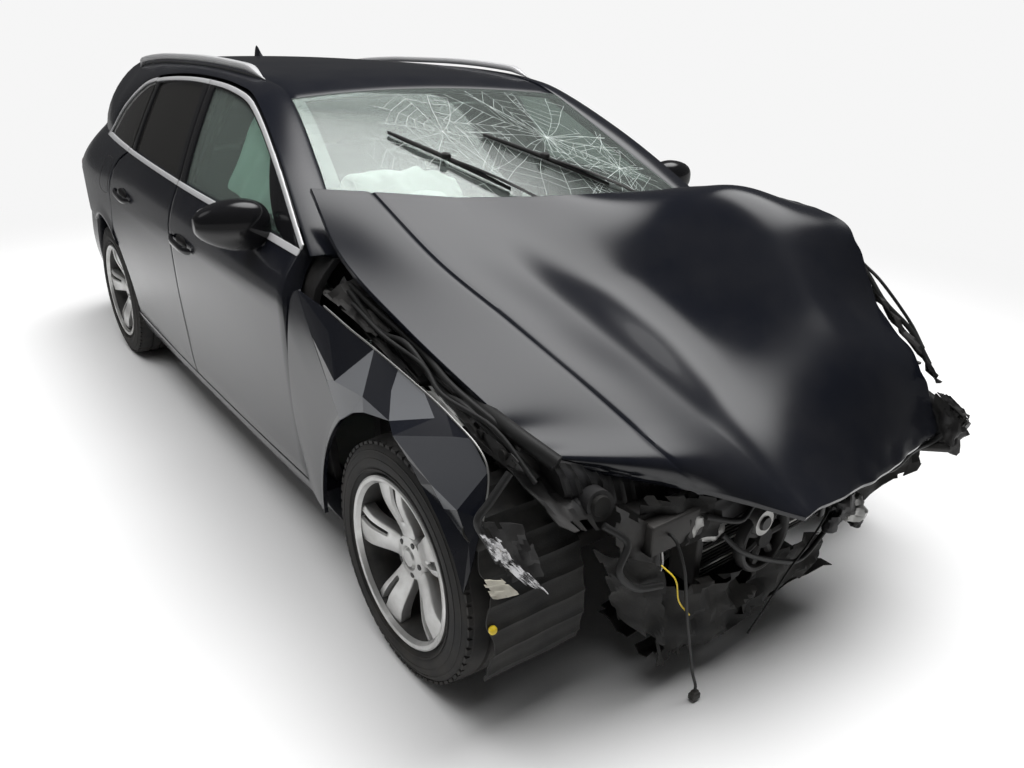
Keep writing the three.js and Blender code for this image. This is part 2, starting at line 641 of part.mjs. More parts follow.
// Rear suspension beam with its hub carriers
function carrier(side, half, y) {
  const x = (o) => side * (half + o);
  return join(
    drum(62, x(-95), x(-26), y, HUB_HEIGHT, 16),
    drum(30, x(-30), x(-20.5), y, HUB_HEIGHT, 12),
  );
}
function rearArm(side) {
  const hub = carrier(side, REAR_HALF_TRACK, WHEELBASE);
  const x = [side * 380, side * (REAR_HALF_TRACK - 60)].sort((p, q) => p - q);
  return join(hub, block(...x, WHEELBASE - 30, WHEELBASE + 30, 255, 300),
    rod(48, [side * 540, WHEELBASE + 10, 280], [side * 540, WHEELBASE + 10, 339.7], 14));
}
const rearBeam = block(-420, 420, WHEELBASE - 110, WHEELBASE + 110, 240, 300);
piece('rear_axle', join(rearBeam, rearArm(-1), rearArm(1)), METAL);

// Steering knuckles: hub carrier over a round ball joint boss about the steering axis
for (const [hand, side] of SIDES) {
  const at = side * FRONT_HALF_TRACK;
  const boss = rod(BALL_JOINT_RADIUS, [at, 0, 185], [at, 0, 300], 32);
  const outer = [side * (FRONT_HALF_TRACK - 26), side * (FRONT_HALF_TRACK + 100)].sort((p, q) => p - q);
  const inner = boss.subtract(block(...outer, -100, 100, 100, 400));
  piece(`knuckle_${hand}`, join(carrier(side, FRONT_HALF_TRACK, 0), inner), METAL);
}

// Wheels: node end, hand, half track, axle station
const WHEELS = [
  ['front_right', -1, FRONT_HALF_TRACK, 0],
  ['front_left', 1, FRONT_HALF_TRACK, 0],
  ['rear_right', -1, REAR_HALF_TRACK, WHEELBASE],
  ['rear_left', 1, REAR_HALF_TRACK, WHEELBASE],
];
const TYRE_PROFILE = [[-92, RIM_RADIUS + SEAT_GAP], [-94, 230], [-TYRE_HALF_WIDTH, 262], [-104, 306],
  [-78, TREAD_RADIUS - 4], [0, TREAD_RADIUS], [78, TREAD_RADIUS - 4], [104, 306],
  [TYRE_HALF_WIDTH, 262], [94, 230], [92, RIM_RADIUS + SEAT_GAP]];
const BARREL_PROFILE = [[-108, 200], [-108, 228], [-97, 228], [-94, RIM_RADIUS], [94, RIM_RADIUS],
  [97, 228], [108, 228], [108, 206], [70, 203], [-70, 203]];
const SPOKES = 5;
const FIRST_SPOKE = 0.035;
const SPOKE_OUTLINE = [[60, -26], [150, -33], [206, -48], [206, 48], [150, 33], [60, 26]];

function rimBody(side, centre) {
  const barrel = turned(BARREL_PROFILE, side, centre, WHEEL_FACETS);
  const hub = turned([[-12, 0.01], [-12, 74], [48, 74], [66, 46], [66, 0.01]], side, centre, 10);
  const disc = turned([[-20, 0.01], [-20, 152], [4, 152], [4, 0.01]], side, centre, 16);
  let body = join(barrel, hub, disc);
  for (let i = 0; i < SPOKES; i += 1) {
    const turn = (2 * Math.PI * (i + FIRST_SPOKE)) / SPOKES;
    const outline = SPOKE_OUTLINE.map(([r, w]) => [
      centre[1] + r * Math.cos(turn) - w * Math.sin(turn),
      centre[2] + r * Math.sin(turn) + w * Math.cos(turn)]);
    const x = [centre[0] + side * 44, centre[0] + side * 88].sort((a, b) => a - b);
    body = body.add(sidePrism(outline, ...x));
  }
  return body;
}
for (const [end, side, half, y] of WHEELS) {
  const centre = [side * half, y, HUB_HEIGHT];
  piece(`tyre_${end}`, turned(TYRE_PROFILE, side, centre, WHEEL_FACETS), RUBBER);
  piece(`rim_${end}`, rimBody(side, centre), ALLOY);
}

// Cabin: dashboard, steering wheel, seats, airbags
const DASH = [[432.3, 720], [432.3, 929.7], [562, 929.7], [600, 958], [880, 932], [912, 820], [780, 700]];
const dash = sidePrism(DASH, -720, 720);
piece('dashboard', dash, BLACK_PLASTIC);
const rimRing = new THREE.TorusGeometry(180, 15, 6, 16);
const tilt = new THREE.Matrix4().makeRotationX(-Math.PI / 2 - 0.42 + Math.PI);
const STEER_AT = [365, 1030, 905];
const ring = solid(rimRing.applyMatrix4(tilt).translate(...STEER_AT));
const STEER_SPOKES = [[180, 0, 0], [-180, 0, 0], [0, 73, -164]];
const spokeEnd = (reach) => STEER_AT.map((v, i) => v + reach[i]);
const steerSpokes = STEER_SPOKES.map((reach) => rod(15, STEER_AT, spokeEnd(reach), 8));
piece('steering_wheel', join(
  ring, ...steerSpokes,
  rod(62, [365, 1046, 912], [365, 1010, 896], 14), rod(26, [365, 1030, 905], [365, 890, 843], 12),
).subtract(dash.translate([0, SEAT_GAP, 0])), BLACK_PLASTIC);

// Seat outline in side view: y, z from the seat's front foot
const SEAT = [[0, 0], [0, 130], [-40, 190], [-20, 270], [300, 250], [400, 240], [545, 740], [600, 820],
  [640, 960], [715, 950], [690, 800], [665, 720], [545, 180], [480, 120], [440, 0]];
for (const [hand, side] of SIDES) {
  const x = [side * 140.3 + side * 5, side * 640].sort((a, b) => a - b);
  piece(`seat_${hand}`, sidePrism(SEAT.map(([y, z]) => [1190 + y, 208.3 + z]), ...x), TRIM_CLOTH);
}
const BENCH = [[2030, 208.3], [2020, 470], [2080, 500], [2340, 470], [2480, 960], [2500, 1040],
  [2560, 1040], [2560, 372.3], [2439.7, 372.3], [2439.7, 340], [2400.3, 340], [2400.3, 208.3]];
piece('rear_bench', fit(sidePrism(BENCH, -555, 555), floor, [0, 0, SEAT_GAP]), TRIM_CLOTH);

const bagDome = new THREE.SphereGeometry(1, 12, 8).scale(235, 150, 105).translate(-360, 740, 975);
piece('airbag_passenger', solid(bagDome).subtract(dash.translate([0, 0, SEAT_GAP])), BAG);
const curtainArea = area(() => 800, () => 1330, (y) => Math.max(beltZ(y) + 12, doorLine(y) - 300),
  (y) => doorLine(y) + 3);
const curtain = sidePanel(-1, 8, 5, curtainArea, 62, 84);
piece('airbag_curtain', fit(curtain, sideFrames.right, [0, 0, -0.5]), BAG);

// Exhaust under the floor
piece('exhaust', join(
  tube(30, [[60, 300, 140], [60, 900, 140], [60, 1700, 147.4], [60, 2300, 147.4]], 12),
  block(-140, 260, 2180, 2520, 105, 177.7),
), METAL);

// Torn loom: hanging wires with their plug
const MAIN_WIRE = [[-420, -470.6, 490], [-420, -482, 490], [-422, -504, 476], [-422, -532, 420],
  [-416, -545, 330], [-400, -548, 250], [-380, -550, 170], [-362, -552, 100], [-344, -553, 52],
  [-342, -553, 33]];
const SHORT_WIRE = [[240, -470.6, 490], [240, -482, 490], [232, -506, 476], [180, -540, 410],
  [70, -556, 330], [-20, -560, 270], [-100, -562, 190], [-160, -560, 130]];
piece('wire_main', tube(4, MAIN_WIRE, 18), RUBBER);
piece('wire_short', tube(3, SHORT_WIRE, 18), RUBBER);
piece('wire_plug', block(-356, -328, -563, -543, 6, 31.7), BLACK_PLASTIC);

export default car;
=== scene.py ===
"""Looks of a crashed mid-size estate car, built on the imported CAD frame.

Tables are in millimetres in car coordinates: +X left, -Y forward, +Z up, y from the front axle.
"""

import logging
import math
import random
from collections.abc import Callable, Sequence
from dataclasses import dataclass
from enum import Enum
from functools import partial

import bmesh
import bpy
from mathutils import Matrix, Vector, noise
from mathutils.geometry import delaunay_2d_cdt

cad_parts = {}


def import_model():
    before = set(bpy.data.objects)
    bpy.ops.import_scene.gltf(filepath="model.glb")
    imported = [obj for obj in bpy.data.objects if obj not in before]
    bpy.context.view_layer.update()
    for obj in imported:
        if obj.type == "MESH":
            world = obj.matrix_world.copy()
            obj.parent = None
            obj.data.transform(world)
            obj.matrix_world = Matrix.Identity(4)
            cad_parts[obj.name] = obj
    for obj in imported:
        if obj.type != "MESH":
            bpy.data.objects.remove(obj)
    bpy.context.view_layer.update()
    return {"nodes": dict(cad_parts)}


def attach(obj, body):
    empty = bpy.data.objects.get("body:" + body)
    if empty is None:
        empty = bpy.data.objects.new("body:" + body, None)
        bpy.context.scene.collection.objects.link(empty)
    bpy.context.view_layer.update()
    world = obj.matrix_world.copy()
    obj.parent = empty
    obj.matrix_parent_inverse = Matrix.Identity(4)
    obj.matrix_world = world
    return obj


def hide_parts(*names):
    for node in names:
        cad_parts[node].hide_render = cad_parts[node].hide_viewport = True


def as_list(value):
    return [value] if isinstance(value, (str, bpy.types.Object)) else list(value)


LOG = logging.getLogger("crashed_estate")
AXLE_Y = 1573.3
WHEELBASE = 2820.0
HUB_HEIGHT = 326.0
Triple = tuple[float, float, float]
Place = Callable[[float, float], Triple]
Deep = Callable[[float, float, float], Triple]
Inputs = dict[int | str, float | tuple[float, ...] | bpy.types.NodeSocket]
Test = Callable[[float, float], bool]


class Side(Enum):
    """The car's own right and left, with the sign of x."""

    RIGHT = -1
    LEFT = 1

    @property
    def hand(self) -> str:
        """Returns: the side's name as it stands in node names."""
        return self.name.lower()


class End(Enum):
    """Front or rear of the car."""

    FRONT = "front"
    REAR = "rear"


@dataclass(frozen=True)
class Finish:
    """Plain values of one material; lengths in metres."""

    slot: str
    color: Triple
    roughness: float
    metallic: float = 0.0
    transmission: float = 0.0
    ior: float = 1.45
    coat: float = 0.0
    coat_roughness: float = 0.06
    dirt: float = 0.0
    dirt_color: Triple = (0.2, 0.185, 0.165)
    dirt_scale: float = 5.0
    grain: float = 0.0
    grain_scale: float = 260.0


class Skin(Enum):
    """Finishes used on the car."""

    PAINT = Finish("body_paint", (0.006, 0.007, 0.011), 0.2, coat=0.15, dirt=0.08)
    # Grey paints for the crushed wing's facets: scuffed paint whose lighter tones also paint the facets'
    # reflections.
    SCUFF_AND_SHEEN = Finish("body_paint", (0.15, 0.155, 0.165), 0.42, dirt=0.1)
    RUBBED = Finish("body_paint", (0.042, 0.044, 0.05), 0.4, dirt=0.1)
    GLOSS_BLACK = Finish("black_plastic", (0.008, 0.008, 0.009), 0.16, coat=0.3)
    PLASTIC = Finish("black_plastic", (0.014, 0.014, 0.015), 0.5, dirt=0.3, grain=0.12)
    TORN = Finish("black_plastic", (0.006, 0.006, 0.006), 0.7, dirt=0.15, dirt_scale=11.0, grain=0.3)
    SCREEN = Finish("clear_glass", (0.68, 0.76, 0.72), 0.02, transmission=0.93)
    CLEAR = Finish("clear_glass", (0.7, 0.82, 0.76), 0.02, transmission=0.92)
    PRIVACY = Finish("privacy_glass", (0.035, 0.034, 0.032), 0.05, transmission=0.5)
    CRACK = Finish("clear_glass", (0.7, 0.77, 0.74), 0.35)
    BRIGHT = Finish("bright_trim", (0.62, 0.62, 0.63), 0.3, metallic=0.3, dirt=0.12)
    CHROME = Finish("bright_trim", (0.5, 0.5, 0.51), 0.18, metallic=0.8, dirt=0.5, dirt_scale=22.0)
    CREAM = Finish("bright_trim", (0.6, 0.57, 0.48), 0.45, dirt=0.3, dirt_scale=16.0)
    STEEL = Finish("chassis_metal", (0.02, 0.02, 0.021), 0.45, metallic=0.4, dirt=0.3, grain=0.1)
    BARE = Finish("chassis_metal", (0.42, 0.42, 0.41), 0.4, metallic=0.9, dirt=0.5, dirt_scale=14.0)
    RUST = Finish("chassis_metal", (0.16, 0.1, 0.07), 0.5, metallic=0.6, dirt=0.6,
                  dirt_color=(0.2, 0.085, 0.035), dirt_scale=20.0)
    ALLOY = Finish("wheel_alloy", (0.6, 0.6, 0.59), 0.33, metallic=0.75, dirt=0.45,
                   dirt_color=(0.19, 0.175, 0.155), dirt_scale=13.0)
    # Dark alloy that paints shade: the barrel seen between the spokes and the spokes' sunk pockets.
    POCKET_SHADE = Finish("wheel_alloy", (0.05, 0.05, 0.05), 0.5, metallic=0.5, dirt=0.35, dirt_scale=13.0)
    TYRE = Finish("tyre_rubber", (0.016, 0.016, 0.016), 0.75, dirt=0.5, dirt_color=(0.11, 0.1, 0.09),
                  dirt_scale=9.0, grain=0.15)
    LAMP = Finish("lamp_lens", (0.3, 0.008, 0.012), 0.1, coat=0.6)
    CLOTH = Finish("seat_cloth", (0.04, 0.041, 0.044), 0.9, grain=0.35, grain_scale=700.0)
    LINING = Finish("seat_cloth", (0.42, 0.42, 0.4), 0.9, grain=0.2, grain_scale=500.0)
    BAG = Finish("airbag_cloth", (0.83, 0.85, 0.83), 0.85, grain=0.2, grain_scale=900.0)
    GREEN_BAG = Finish("airbag_cloth", (0.56, 0.76, 0.68), 0.85, grain=0.2, grain_scale=900.0)
    WIRE = Finish("wire_sheath", (0.014, 0.014, 0.014), 0.55)
    YELLOW = Finish("lamp_lens", (0.75, 0.55, 0.03), 0.4)
    PLATE = Finish("bright_trim", (0.75, 0.75, 0.73), 0.4, dirt=0.2)


def lerp(a: float, b: float, t: float) -> float:
    """Blends two values.

    Args:
        a: value at share 0.
        b: value at share 1.
        t: share.

    Returns:
        The blended value.
    """
    return a + (b - a) * t


def ease(t: float) -> float:
    """Smooth step held within 0 and 1.

    Args:
        t: share.

    Returns:
        The eased share.
    """
    t = min(1.0, max(0.0, t))
    return t * t * (3 - 2 * t)


def row(x: float, y: float, z: float) -> Vector:
    """Moves a point from car millimetres to the row frame.

    Args:
        x: distance to the left.
        y: distance behind the front axle.
        z: height.

    Returns:
        The point in metres.
    """
    return Vector((x / 1000, (y - AXLE_Y) / 1000, z / 1000))


def ruffle(x: float, y: float, z: float, size: float) -> float:
    """Smooth noise from about -1 to 1.

    Args:
        x: position in millimetres.
        y: position in millimetres.
        z: position in millimetres.
        size: length of a ruffle in millimetres.

    Returns:
        The noise value.
    """
    return noise.noise(Vector((x / size, y / size, z / size)))


class Curve:
    """Smooth reading of one column of a table ordered by its first column."""

    def __init__(self, rows: Sequence[Sequence[float]], column: int = 1) -> None:
        """Keeps the table.

        Args:
            rows: the table.
            column: the column that is read.
        """
        self.at = [r[0] for r in rows]
        self.value = [r[column] for r in rows]

    def slope(self, i: int) -> float:
        """Slope at a row.

        Args:
            i: row number.

        Returns:
            The slope between the row's neighbours.
        """
        a = max(i - 1, 0)
        b = min(i + 1, len(self.at) - 1)
        return (self.value[b] - self.value[a]) / (self.at[b] - self.at[a])

    def __call__(self, x: float) -> float:
        """Reads the table.

        Args:
            x: where to read.

        Returns:
            The value there.
        """
        if x <= self.at[0]:
            return self.value[0]
        if x >= self.at[-1]:
            return self.value[-1]
        i = 0
        while x > self.at[i + 1]:
            i += 1
        span = self.at[i + 1] - self.at[i]
        t = (x - self.at[i]) / span
        bend = t * (1 - t) * span * ((1 - t) * self.slope(i) - t * self.slope(i + 1))
        return lerp(self.value[i], self.value[i + 1], t * t * (3 - 2 * t)) + bend


@dataclass(frozen=True)
class Bands:
    """Grid divisions gathered in bands of so many cells."""

    counts: tuple[int, ...]

    @property
    def cells(self) -> int:
        """Returns: the number of cells in all."""
        return sum(self.counts)

    def locate(self, share: float) -> tuple[int, float]:
        """Finds the band at a share of the grid.

        Args:
            share: 0 to 1 across the grid.

        Returns:
            The band's number and the share within it.
        """
        left = share * self.cells
        for i, count in enumerate(self.counts):
            if left <= count + 1e-6:
                return i, min(1.0, left / count)
            left -= count
        return len(self.counts) - 1, 1.0


def squared(angle: float, power: float) -> tuple[float, float]:
    """Gives a point of a rounded square that reaches 1 along both axes.

    Args:
        angle: angle around it.
        power: 2 for a circle, more for a squarer shape.

    Returns:
        The point across and up.
    """
    c, d = math.cos(angle), math.sin(angle)
    full = (abs(c) ** power + abs(d) ** power) ** (-1 / power)
    return c * full, d * full


def bulge(share: float, low: float, high: float, power: float) -> float:
    """Gives the fullness of a bar that closes towards both ends.

    Args:
        share: share along the bar.
        low: least share, which keeps the start open.
        high: greatest share, which keeps the end open.
        power: less than 1 for blunt ends.

    Returns:
        Fullness from 0 to 1.
    """
    return math.sin(math.pi * min(high, max(low, share))) ** power


def wire(tree: bpy.types.NodeTree, node: bpy.types.Node, inputs: Inputs) -> bpy.types.Node:
    """Gives a node's inputs their values and links.

    Args:
        tree: the node tree.
        node: the node.
        inputs: a value or another node's output for each input.

    Returns:
        The node.
    """
    for name, value in inputs.items():
        if isinstance(value, bpy.types.NodeSocket):
            tree.links.new(value, node.inputs[name])
        else:
            node.inputs[name].default_value = value
    return node


def add_node(tree: bpy.types.NodeTree, kind: str, inputs: Inputs, operation: str = "") -> bpy.types.Node:
    """Adds a node and wires it.

    Args:
        tree: the node tree.
        kind: the end of the node's type name.
        inputs: a value or another node's output for each input.
        operation: what a math node does.

    Returns:
        The node.
    """
    node = tree.nodes.new(f"ShaderNode{kind}")
    if operation:
        node.operation = operation
    return wire(tree, node, inputs)


class Materials:
    """Makes each finish once, with one shared group for dirt and grain."""

    def __init__(self) -> None:
        """Builds the shared group."""
        self.made: dict[Skin, bpy.types.Material] = {}
        self.weather = self.weather_group()

    @staticmethod
    def weather_group() -> bpy.types.NodeTree:
        """Builds the group that spreads dirt and grain over Object coordinates.

        Returns:
            The group.
        """
        tree = bpy.data.node_groups.new("weather", "ShaderNodeTree")
        sockets = {"INPUT": {"Color": "Color", "Dirt Color": "Color", "Roughness": "Float", "Dirt": "Float",
                             "Dirt Scale": "Float", "Grain": "Float", "Grain Scale": "Float"},
                   "OUTPUT": {"Color": "Color", "Roughness": "Float", "Normal": "Vector"}}
        for way, kinds in sockets.items():
            for name, kind in kinds.items():
                tree.interface.new_socket(name, in_out=way, socket_type=f"NodeSocket{kind}")
        node = partial(add_node, tree)
        given = tree.nodes.new("NodeGroupInput").outputs
        where = node("TexCoord", {}).outputs["Object"]
        patch = node("TexNoise", {"Detail": 7.0, "Roughness": 0.62, "Vector": where,
                                  "Scale": given["Dirt Scale"]})
        spread = node("MapRange", {"From Min": 0.36, "From Max": 0.72, "Value": patch.outputs["Fac"]})
        height = node("SeparateXYZ", {"Vector": where}).outputs["Z"]
        low = node("MapRange", {"From Min": 0.75, "From Max": 0.1, "To Min": 0.35, "Value": height})
        lower = node("Math", {0: spread.outputs["Result"], 1: low.outputs["Result"]}, "MULTIPLY")
        amount = node("Math", {0: lower.outputs["Value"], 1: given["Dirt"]}, "MULTIPLY").outputs["Value"]
        mix = node("Mix", {})
        mix.data_type = "RGBA"
        wire(tree, mix, {"Factor": amount, "A": given["Color"], "B": given["Dirt Color"]})
        rough = node("Math", {0: amount, 1: 0.5, 2: given["Roughness"]}, "MULTIPLY_ADD")
        grain = node("TexNoise", {"Detail": 3.0, "Vector": where, "Scale": given["Grain Scale"]})
        bump = node("Bump", {"Distance": 0.002, "Strength": given["Grain"], "Height": grain.outputs["Fac"]})
        wire(tree, tree.nodes.new("NodeGroupOutput"), {
            "Color": mix.outputs["Result"], "Roughness": rough.outputs["Value"],
            "Normal": bump.outputs["Normal"]})
        return tree

    def get(self, skin: Skin) -> bpy.types.Material:
        """Gives a finish's material, made at its first use.

        Args:
            skin: the finish.

        Returns:
            The material.
        """
        if skin in self.made:
            return self.made[skin]
        finish = skin.value
        material = bpy.data.materials.new(skin.name.lower())
        material.use_nodes = True
        tree = material.node_tree
        color = (*finish.color, 1.0)
        shader = wire(tree, tree.nodes["Principled BSDF"], {
            "Metallic": finish.metallic, "Transmission Weight": finish.transmission, "IOR": finish.ior,
            "Coat Weight": finish.coat, "Coat Roughness": finish.coat_roughness, "Base Color": color,
            "Roughness": finish.roughness})
        varying = {"Base Color": "Color", "Roughness": "Roughness"} if finish.dirt else {}
        if finish.grain:
            varying["Normal"] = "Normal"
        if varying:
            group = tree.nodes.new("ShaderNodeGroup")
            group.node_tree = self.weather
            wire(tree, group, {
                "Color": color, "Dirt Color": (*finish.dirt_color, 1.0), "Roughness": finish.roughness,
                "Dirt": finish.dirt, "Dirt Scale": finish.dirt_scale, "Grain": finish.grain,
                "Grain Scale": finish.grain_scale})
            wire(tree, shader, {name: group.outputs[output] for name, output in varying.items()})
        self.made[skin] = material
        return material


class Mesh:
    """One piece under construction: a bmesh in the row frame and its finishes."""

    def __init__(self, *skins: Skin) -> None:
        """Starts an empty piece.

        Args:
            skins: the finishes, in the order of material numbers.
        """
        self.skins = skins
        self.bm = bmesh.new()

    def panel(self, columns: int, rows: int, outer: Place, inner: Place | None = None,
              hole: Test | None = None, shade: Callable[[float, float], int] | None = None,
              bevel: float = 0.0) -> "Mesh":
        """Adds a sheet over s, t in 0..1, closed at the back when an inner face is given.

        Args:
            columns: cells along s.
            rows: cells along t.
            outer: the shown face.
            inner: the back face.
            hole: tells which cells are left open.
            shade: tells each cell's material number.
            bevel: rounding of the shown rim.

        Returns:
            This piece.
        """
        part = bmesh.new()
        bmesh.ops.create_grid(part, x_segments=columns, y_segments=rows, size=0.5)
        middle = {f: f.calc_center_median() for f in part.faces}
        for face, at in middle.items():
            face.material_index = shade(at.x + 0.5, at.y + 0.5) if shade else 0
        if hole:
            gone = [f for f, at in middle.items() if hole(at.x + 0.5, at.y + 0.5)]
            bmesh.ops.delete(part, geom=gone, context="FACES")
        rim = []
        if inner:
            grown = bmesh.ops.extrude_face_region(part, geom=part.faces[:], use_keep_orig=True)
            for vert in (g for g in grown["geom"] if isinstance(g, bmesh.types.BMVert)):
                vert.co.z = 1.0
            for edge in part.edges:
                walls = [f for f in edge.link_faces if any(v.co.z > 0.5 for v in f.verts)]
                if walls and all(v.co.z < 0.5 for v in edge.verts):
                    rim.append(edge)
        for vert in part.verts:
            face = inner if inner and vert.co.z > 0.5 else outer
            vert.co = row(*face(vert.co.x + 0.5, vert.co.y + 0.5))
        bmesh.ops.recalc_face_normals(part, faces=part.faces)
        if bevel and rim:
            bmesh.ops.bevel(part, geom=rim, offset=bevel / 1000, segments=2, profile=0.5, affect="EDGES",
                            material=-1)
        return self.take(part)

    def take(self, part: bmesh.types.BMesh, skin: int | None = None) -> "Mesh":
        """Moves a finished part into this piece.

        Args:
            part: the part, freed here.
            skin: material number of all its faces, if they share one.

        Returns:
            This piece.
        """
        if skin is not None:
            for face in part.faces:
                face.material_index = skin
        holder = bpy.data.meshes.new("part")
        part.to_mesh(holder)
        part.free()
        self.bm.from_mesh(holder)
        bpy.data.meshes.remove(holder)
        return self

    def block(self, low: Triple, high: Triple, bevel: float = 0.0, skin: int = 0,
              turn: Matrix | None = None) -> "Mesh":
        """Adds a rounded block.

        Args:
            low: its low corner.
            high: its high corner.
            bevel: rounding of the edges.
            skin: material number.
            turn: turn about the block's middle.

        Returns:
            This piece.
        """
        part = bmesh.new()
        bmesh.ops.create_cube(part, size=1.0)
        centre = row(*((a + b) / 2 for a, b in zip(low, high)))
        size = [abs(b - a) / 1000 for a, b in zip(low, high)]
        bmesh.ops.scale(part, vec=size, verts=part.verts)
        if bevel:
            bmesh.ops.bevel(part, geom=part.edges[:], offset=bevel / 1000, segments=3, profile=0.5,
                            affect="EDGES", material=-1)
        place = Matrix.Translation(centre) @ (turn.to_4x4() if turn else Matrix.Identity(4))
        bmesh.ops.transform(part, matrix=place, verts=part.verts)
        return self.take(part, skin)

    def bar(self, start: Triple, end: Triple, radius: float, tip: float | None = None, sides: int = 16,
            skin: int = 0) -> "Mesh":
        """Adds a round bar or cone.

        Args:
            start: middle of one end.
            end: middle of the other end.
            radius: radius at the start.
            tip: radius at the end, if it differs.
            sides: number of sides.
            skin: material number.

        Returns:
            This piece.
        """
        part = bmesh.new()
        a, b = row(*start), row(*end)
        along = b - a
        bmesh.ops.create_cone(part, cap_ends=True, cap_tris=False, segments=sides, radius1=radius / 1000,
                              radius2=(radius if tip is None else tip) / 1000, depth=along.length)
        turn = Vector((0, 0, 1)).rotation_difference(along).to_matrix().to_4x4()
        bmesh.ops.transform(part, matrix=Matrix.Translation((a + b) / 2) @ turn, verts=part.verts)
        return self.take(part, skin)

    def lump(self, centre: Triple, radii: Triple, power: float = 2.0, skin: int = 0, cells: int = 24,
             wrinkle: float = 0.0, size: float = 60.0) -> "Mesh":
        """Adds a rounded lump, squarer for higher powers.

        Args:
            centre: its middle.
            radii: half sizes.
            power: 2 for an ellipsoid, more for a fuller shape.
            skin: material number.
            cells: cells around.
            wrinkle: depth of wrinkles.
            size: length of a wrinkle.

        Returns:
            This piece.
        """
        part = bmesh.new()
        bmesh.ops.create_uvsphere(part, u_segments=cells, v_segments=max(6, cells // 2), radius=1.0)
        for vert in part.verts:
            full = sum(abs(c) ** power for c in vert.co) ** (-1 / power)
            x, y, z = (c * full * r + o for c, r, o in zip(vert.co, radii, centre))
            if wrinkle:
                crease = ruffle(x, y, z, size) + 0.5 * ruffle(y, z, x, size * 0.45)
                push = 1 + wrinkle * crease / min(radii)
                x, y, z = (o + (p - o) * push for p, o in zip((x, y, z), centre))
            vert.co = row(x, y, z)
        return self.take(part, skin)

    def ring(self, profile: Sequence[tuple[float, float]], centre: Triple, side: Side, steps: int = 72,
             skin: int = 0) -> "Mesh":
        """Adds a closed profile spun about a wheel's axle.

        Args:
            profile: pairs of distance outward and radius.
            centre: the wheel's middle.
            side: the side of the car that outward points to.
            steps: steps around.
            skin: material number.

        Returns:
            This piece.
        """
        part = bmesh.new()
        x, y, z = centre
        verts = [part.verts.new(row(x + side.value * o, y, z + r)) for o, r in profile]
        edges = [part.edges.new((a, b)) for a, b in zip(verts, verts[1:] + verts[:1])]
        bmesh.ops.spin(part, geom=verts + edges, cent=row(*centre), axis=(1, 0, 0), angle=2 * math.pi,
                       steps=steps, use_merge=True)
        bmesh.ops.remove_doubles(part, verts=part.verts, dist=1e-6)
        bmesh.ops.recalc_face_normals(part, faces=part.faces)
        return self.take(part, skin)

    def loft(self, columns: int, around: int, place: Place, skin: int = 0) -> "Mesh":
        """Adds a closed bar whose section is given by share along and angle around.

        Args:
            columns: cells along.
            around: cells around.
            place: point at a share along and an angle.
            skin: material number.

        Returns:
            This piece.
        """
        part = bmesh.new()
        bmesh.ops.create_grid(part, x_segments=columns, y_segments=around, size=0.5)
        for vert in part.verts:
            vert.co = row(*place(vert.co.x + 0.5, (vert.co.y + 0.5) * 2 * math.pi))
        bmesh.ops.remove_doubles(part, verts=part.verts, dist=1e-6)
        bmesh.ops.holes_fill(part, edges=[e for e in part.edges if e.is_boundary], sides=0)
        bmesh.ops.recalc_face_normals(part, faces=part.faces)
        return self.take(part, skin)


class Factory:
    """Turns meshes and lines into pieces that ride on the frame."""

    def __init__(self, materials: Materials) -> None:
        """Keeps the materials.

        Args:
            materials: the finishes.
        """
        self.materials = materials

    def place(self, name: str, mesh: Mesh, body: str, *stands_for: str,
              sharp: float = 0.6) -> bpy.types.Object:
        """Makes a piece of a finished mesh.

        Args:
            name: the piece's name.
            mesh: its mesh.
            body: the CAD body that it rides on.
            stands_for: CAD nodes that it replaces.
            sharp: angle from which an edge stays sharp.

        Returns:
            The piece.
        """
        for face in mesh.bm.faces:
            face.smooth = True
        for edge in mesh.bm.edges:
            edge.smooth = len(edge.link_faces) != 2 or edge.calc_face_angle() < sharp
        data = bpy.data.meshes.new(name)
        mesh.bm.to_mesh(data)
        mesh.bm.free()
        for skin in mesh.skins:
            data.materials.append(self.materials.get(skin))
        return self.settle(bpy.data.objects.new(name, data), mesh.skins[0], body, stands_for)

    def lines(self, name: str, skin: Skin, body: str, rows: Sequence[tuple[float, Sequence[Triple]]],
              *stands_for: str) -> bpy.types.Object:
        """Makes hoses or wires as one curve piece.

        Args:
            name: the piece's name.
            skin: its finish.
            body: the CAD body that it rides on.
            rows: radius and points of each line.
            stands_for: CAD nodes that it replaces.

        Returns:
            The piece.
        """
        curve = bpy.data.curves.new(name, "CURVE")
        curve.dimensions = "3D"
        curve.bevel_depth = 0.001
        curve.bevel_resolution = 2
        curve.use_fill_caps = True
        for radius, points in rows:
            path = flow(points)
            spline = curve.splines.new("POLY")
            spline.points.add(len(path) - 1)
            for point, at in zip(spline.points, path):
                point.co = (*row(*at), 1.0)
                point.radius = radius
        curve.materials.append(self.materials.get(skin))
        return self.settle(bpy.data.objects.new(name, curve), skin, body, stands_for)

    @staticmethod
    def settle(piece: bpy.types.Object, skin: Skin, body: str,
               stands_for: Sequence[str]) -> bpy.types.Object:
        """Links a piece into the scene and onto its body.

        Args:
            piece: the piece.
            skin: its main finish; not used.
            body: the CAD body that it rides on.
            stands_for: CAD nodes that it replaces.

        Returns:
            The piece.
        """
        bpy.context.scene.collection.objects.link(piece)
        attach(piece, body)
        if stands_for:
            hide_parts(*stands_for)
        LOG.info("%s rides on %s", piece.name, body)
        return piece


def flow(points: Sequence[Triple], steps: int = 6) -> list[Triple]:
    """Smooth line through points.

    Args:
        points: the points.
        steps: steps between two of them.

    Returns:
        Points on the line.
    """
    axes = [Curve([(i, p[k]) for i, p in enumerate(points)]) for k in range(3)]
    count = (len(points) - 1) * steps
    return [tuple(axis(i / steps) for axis in axes) for i in range(count + 1)]


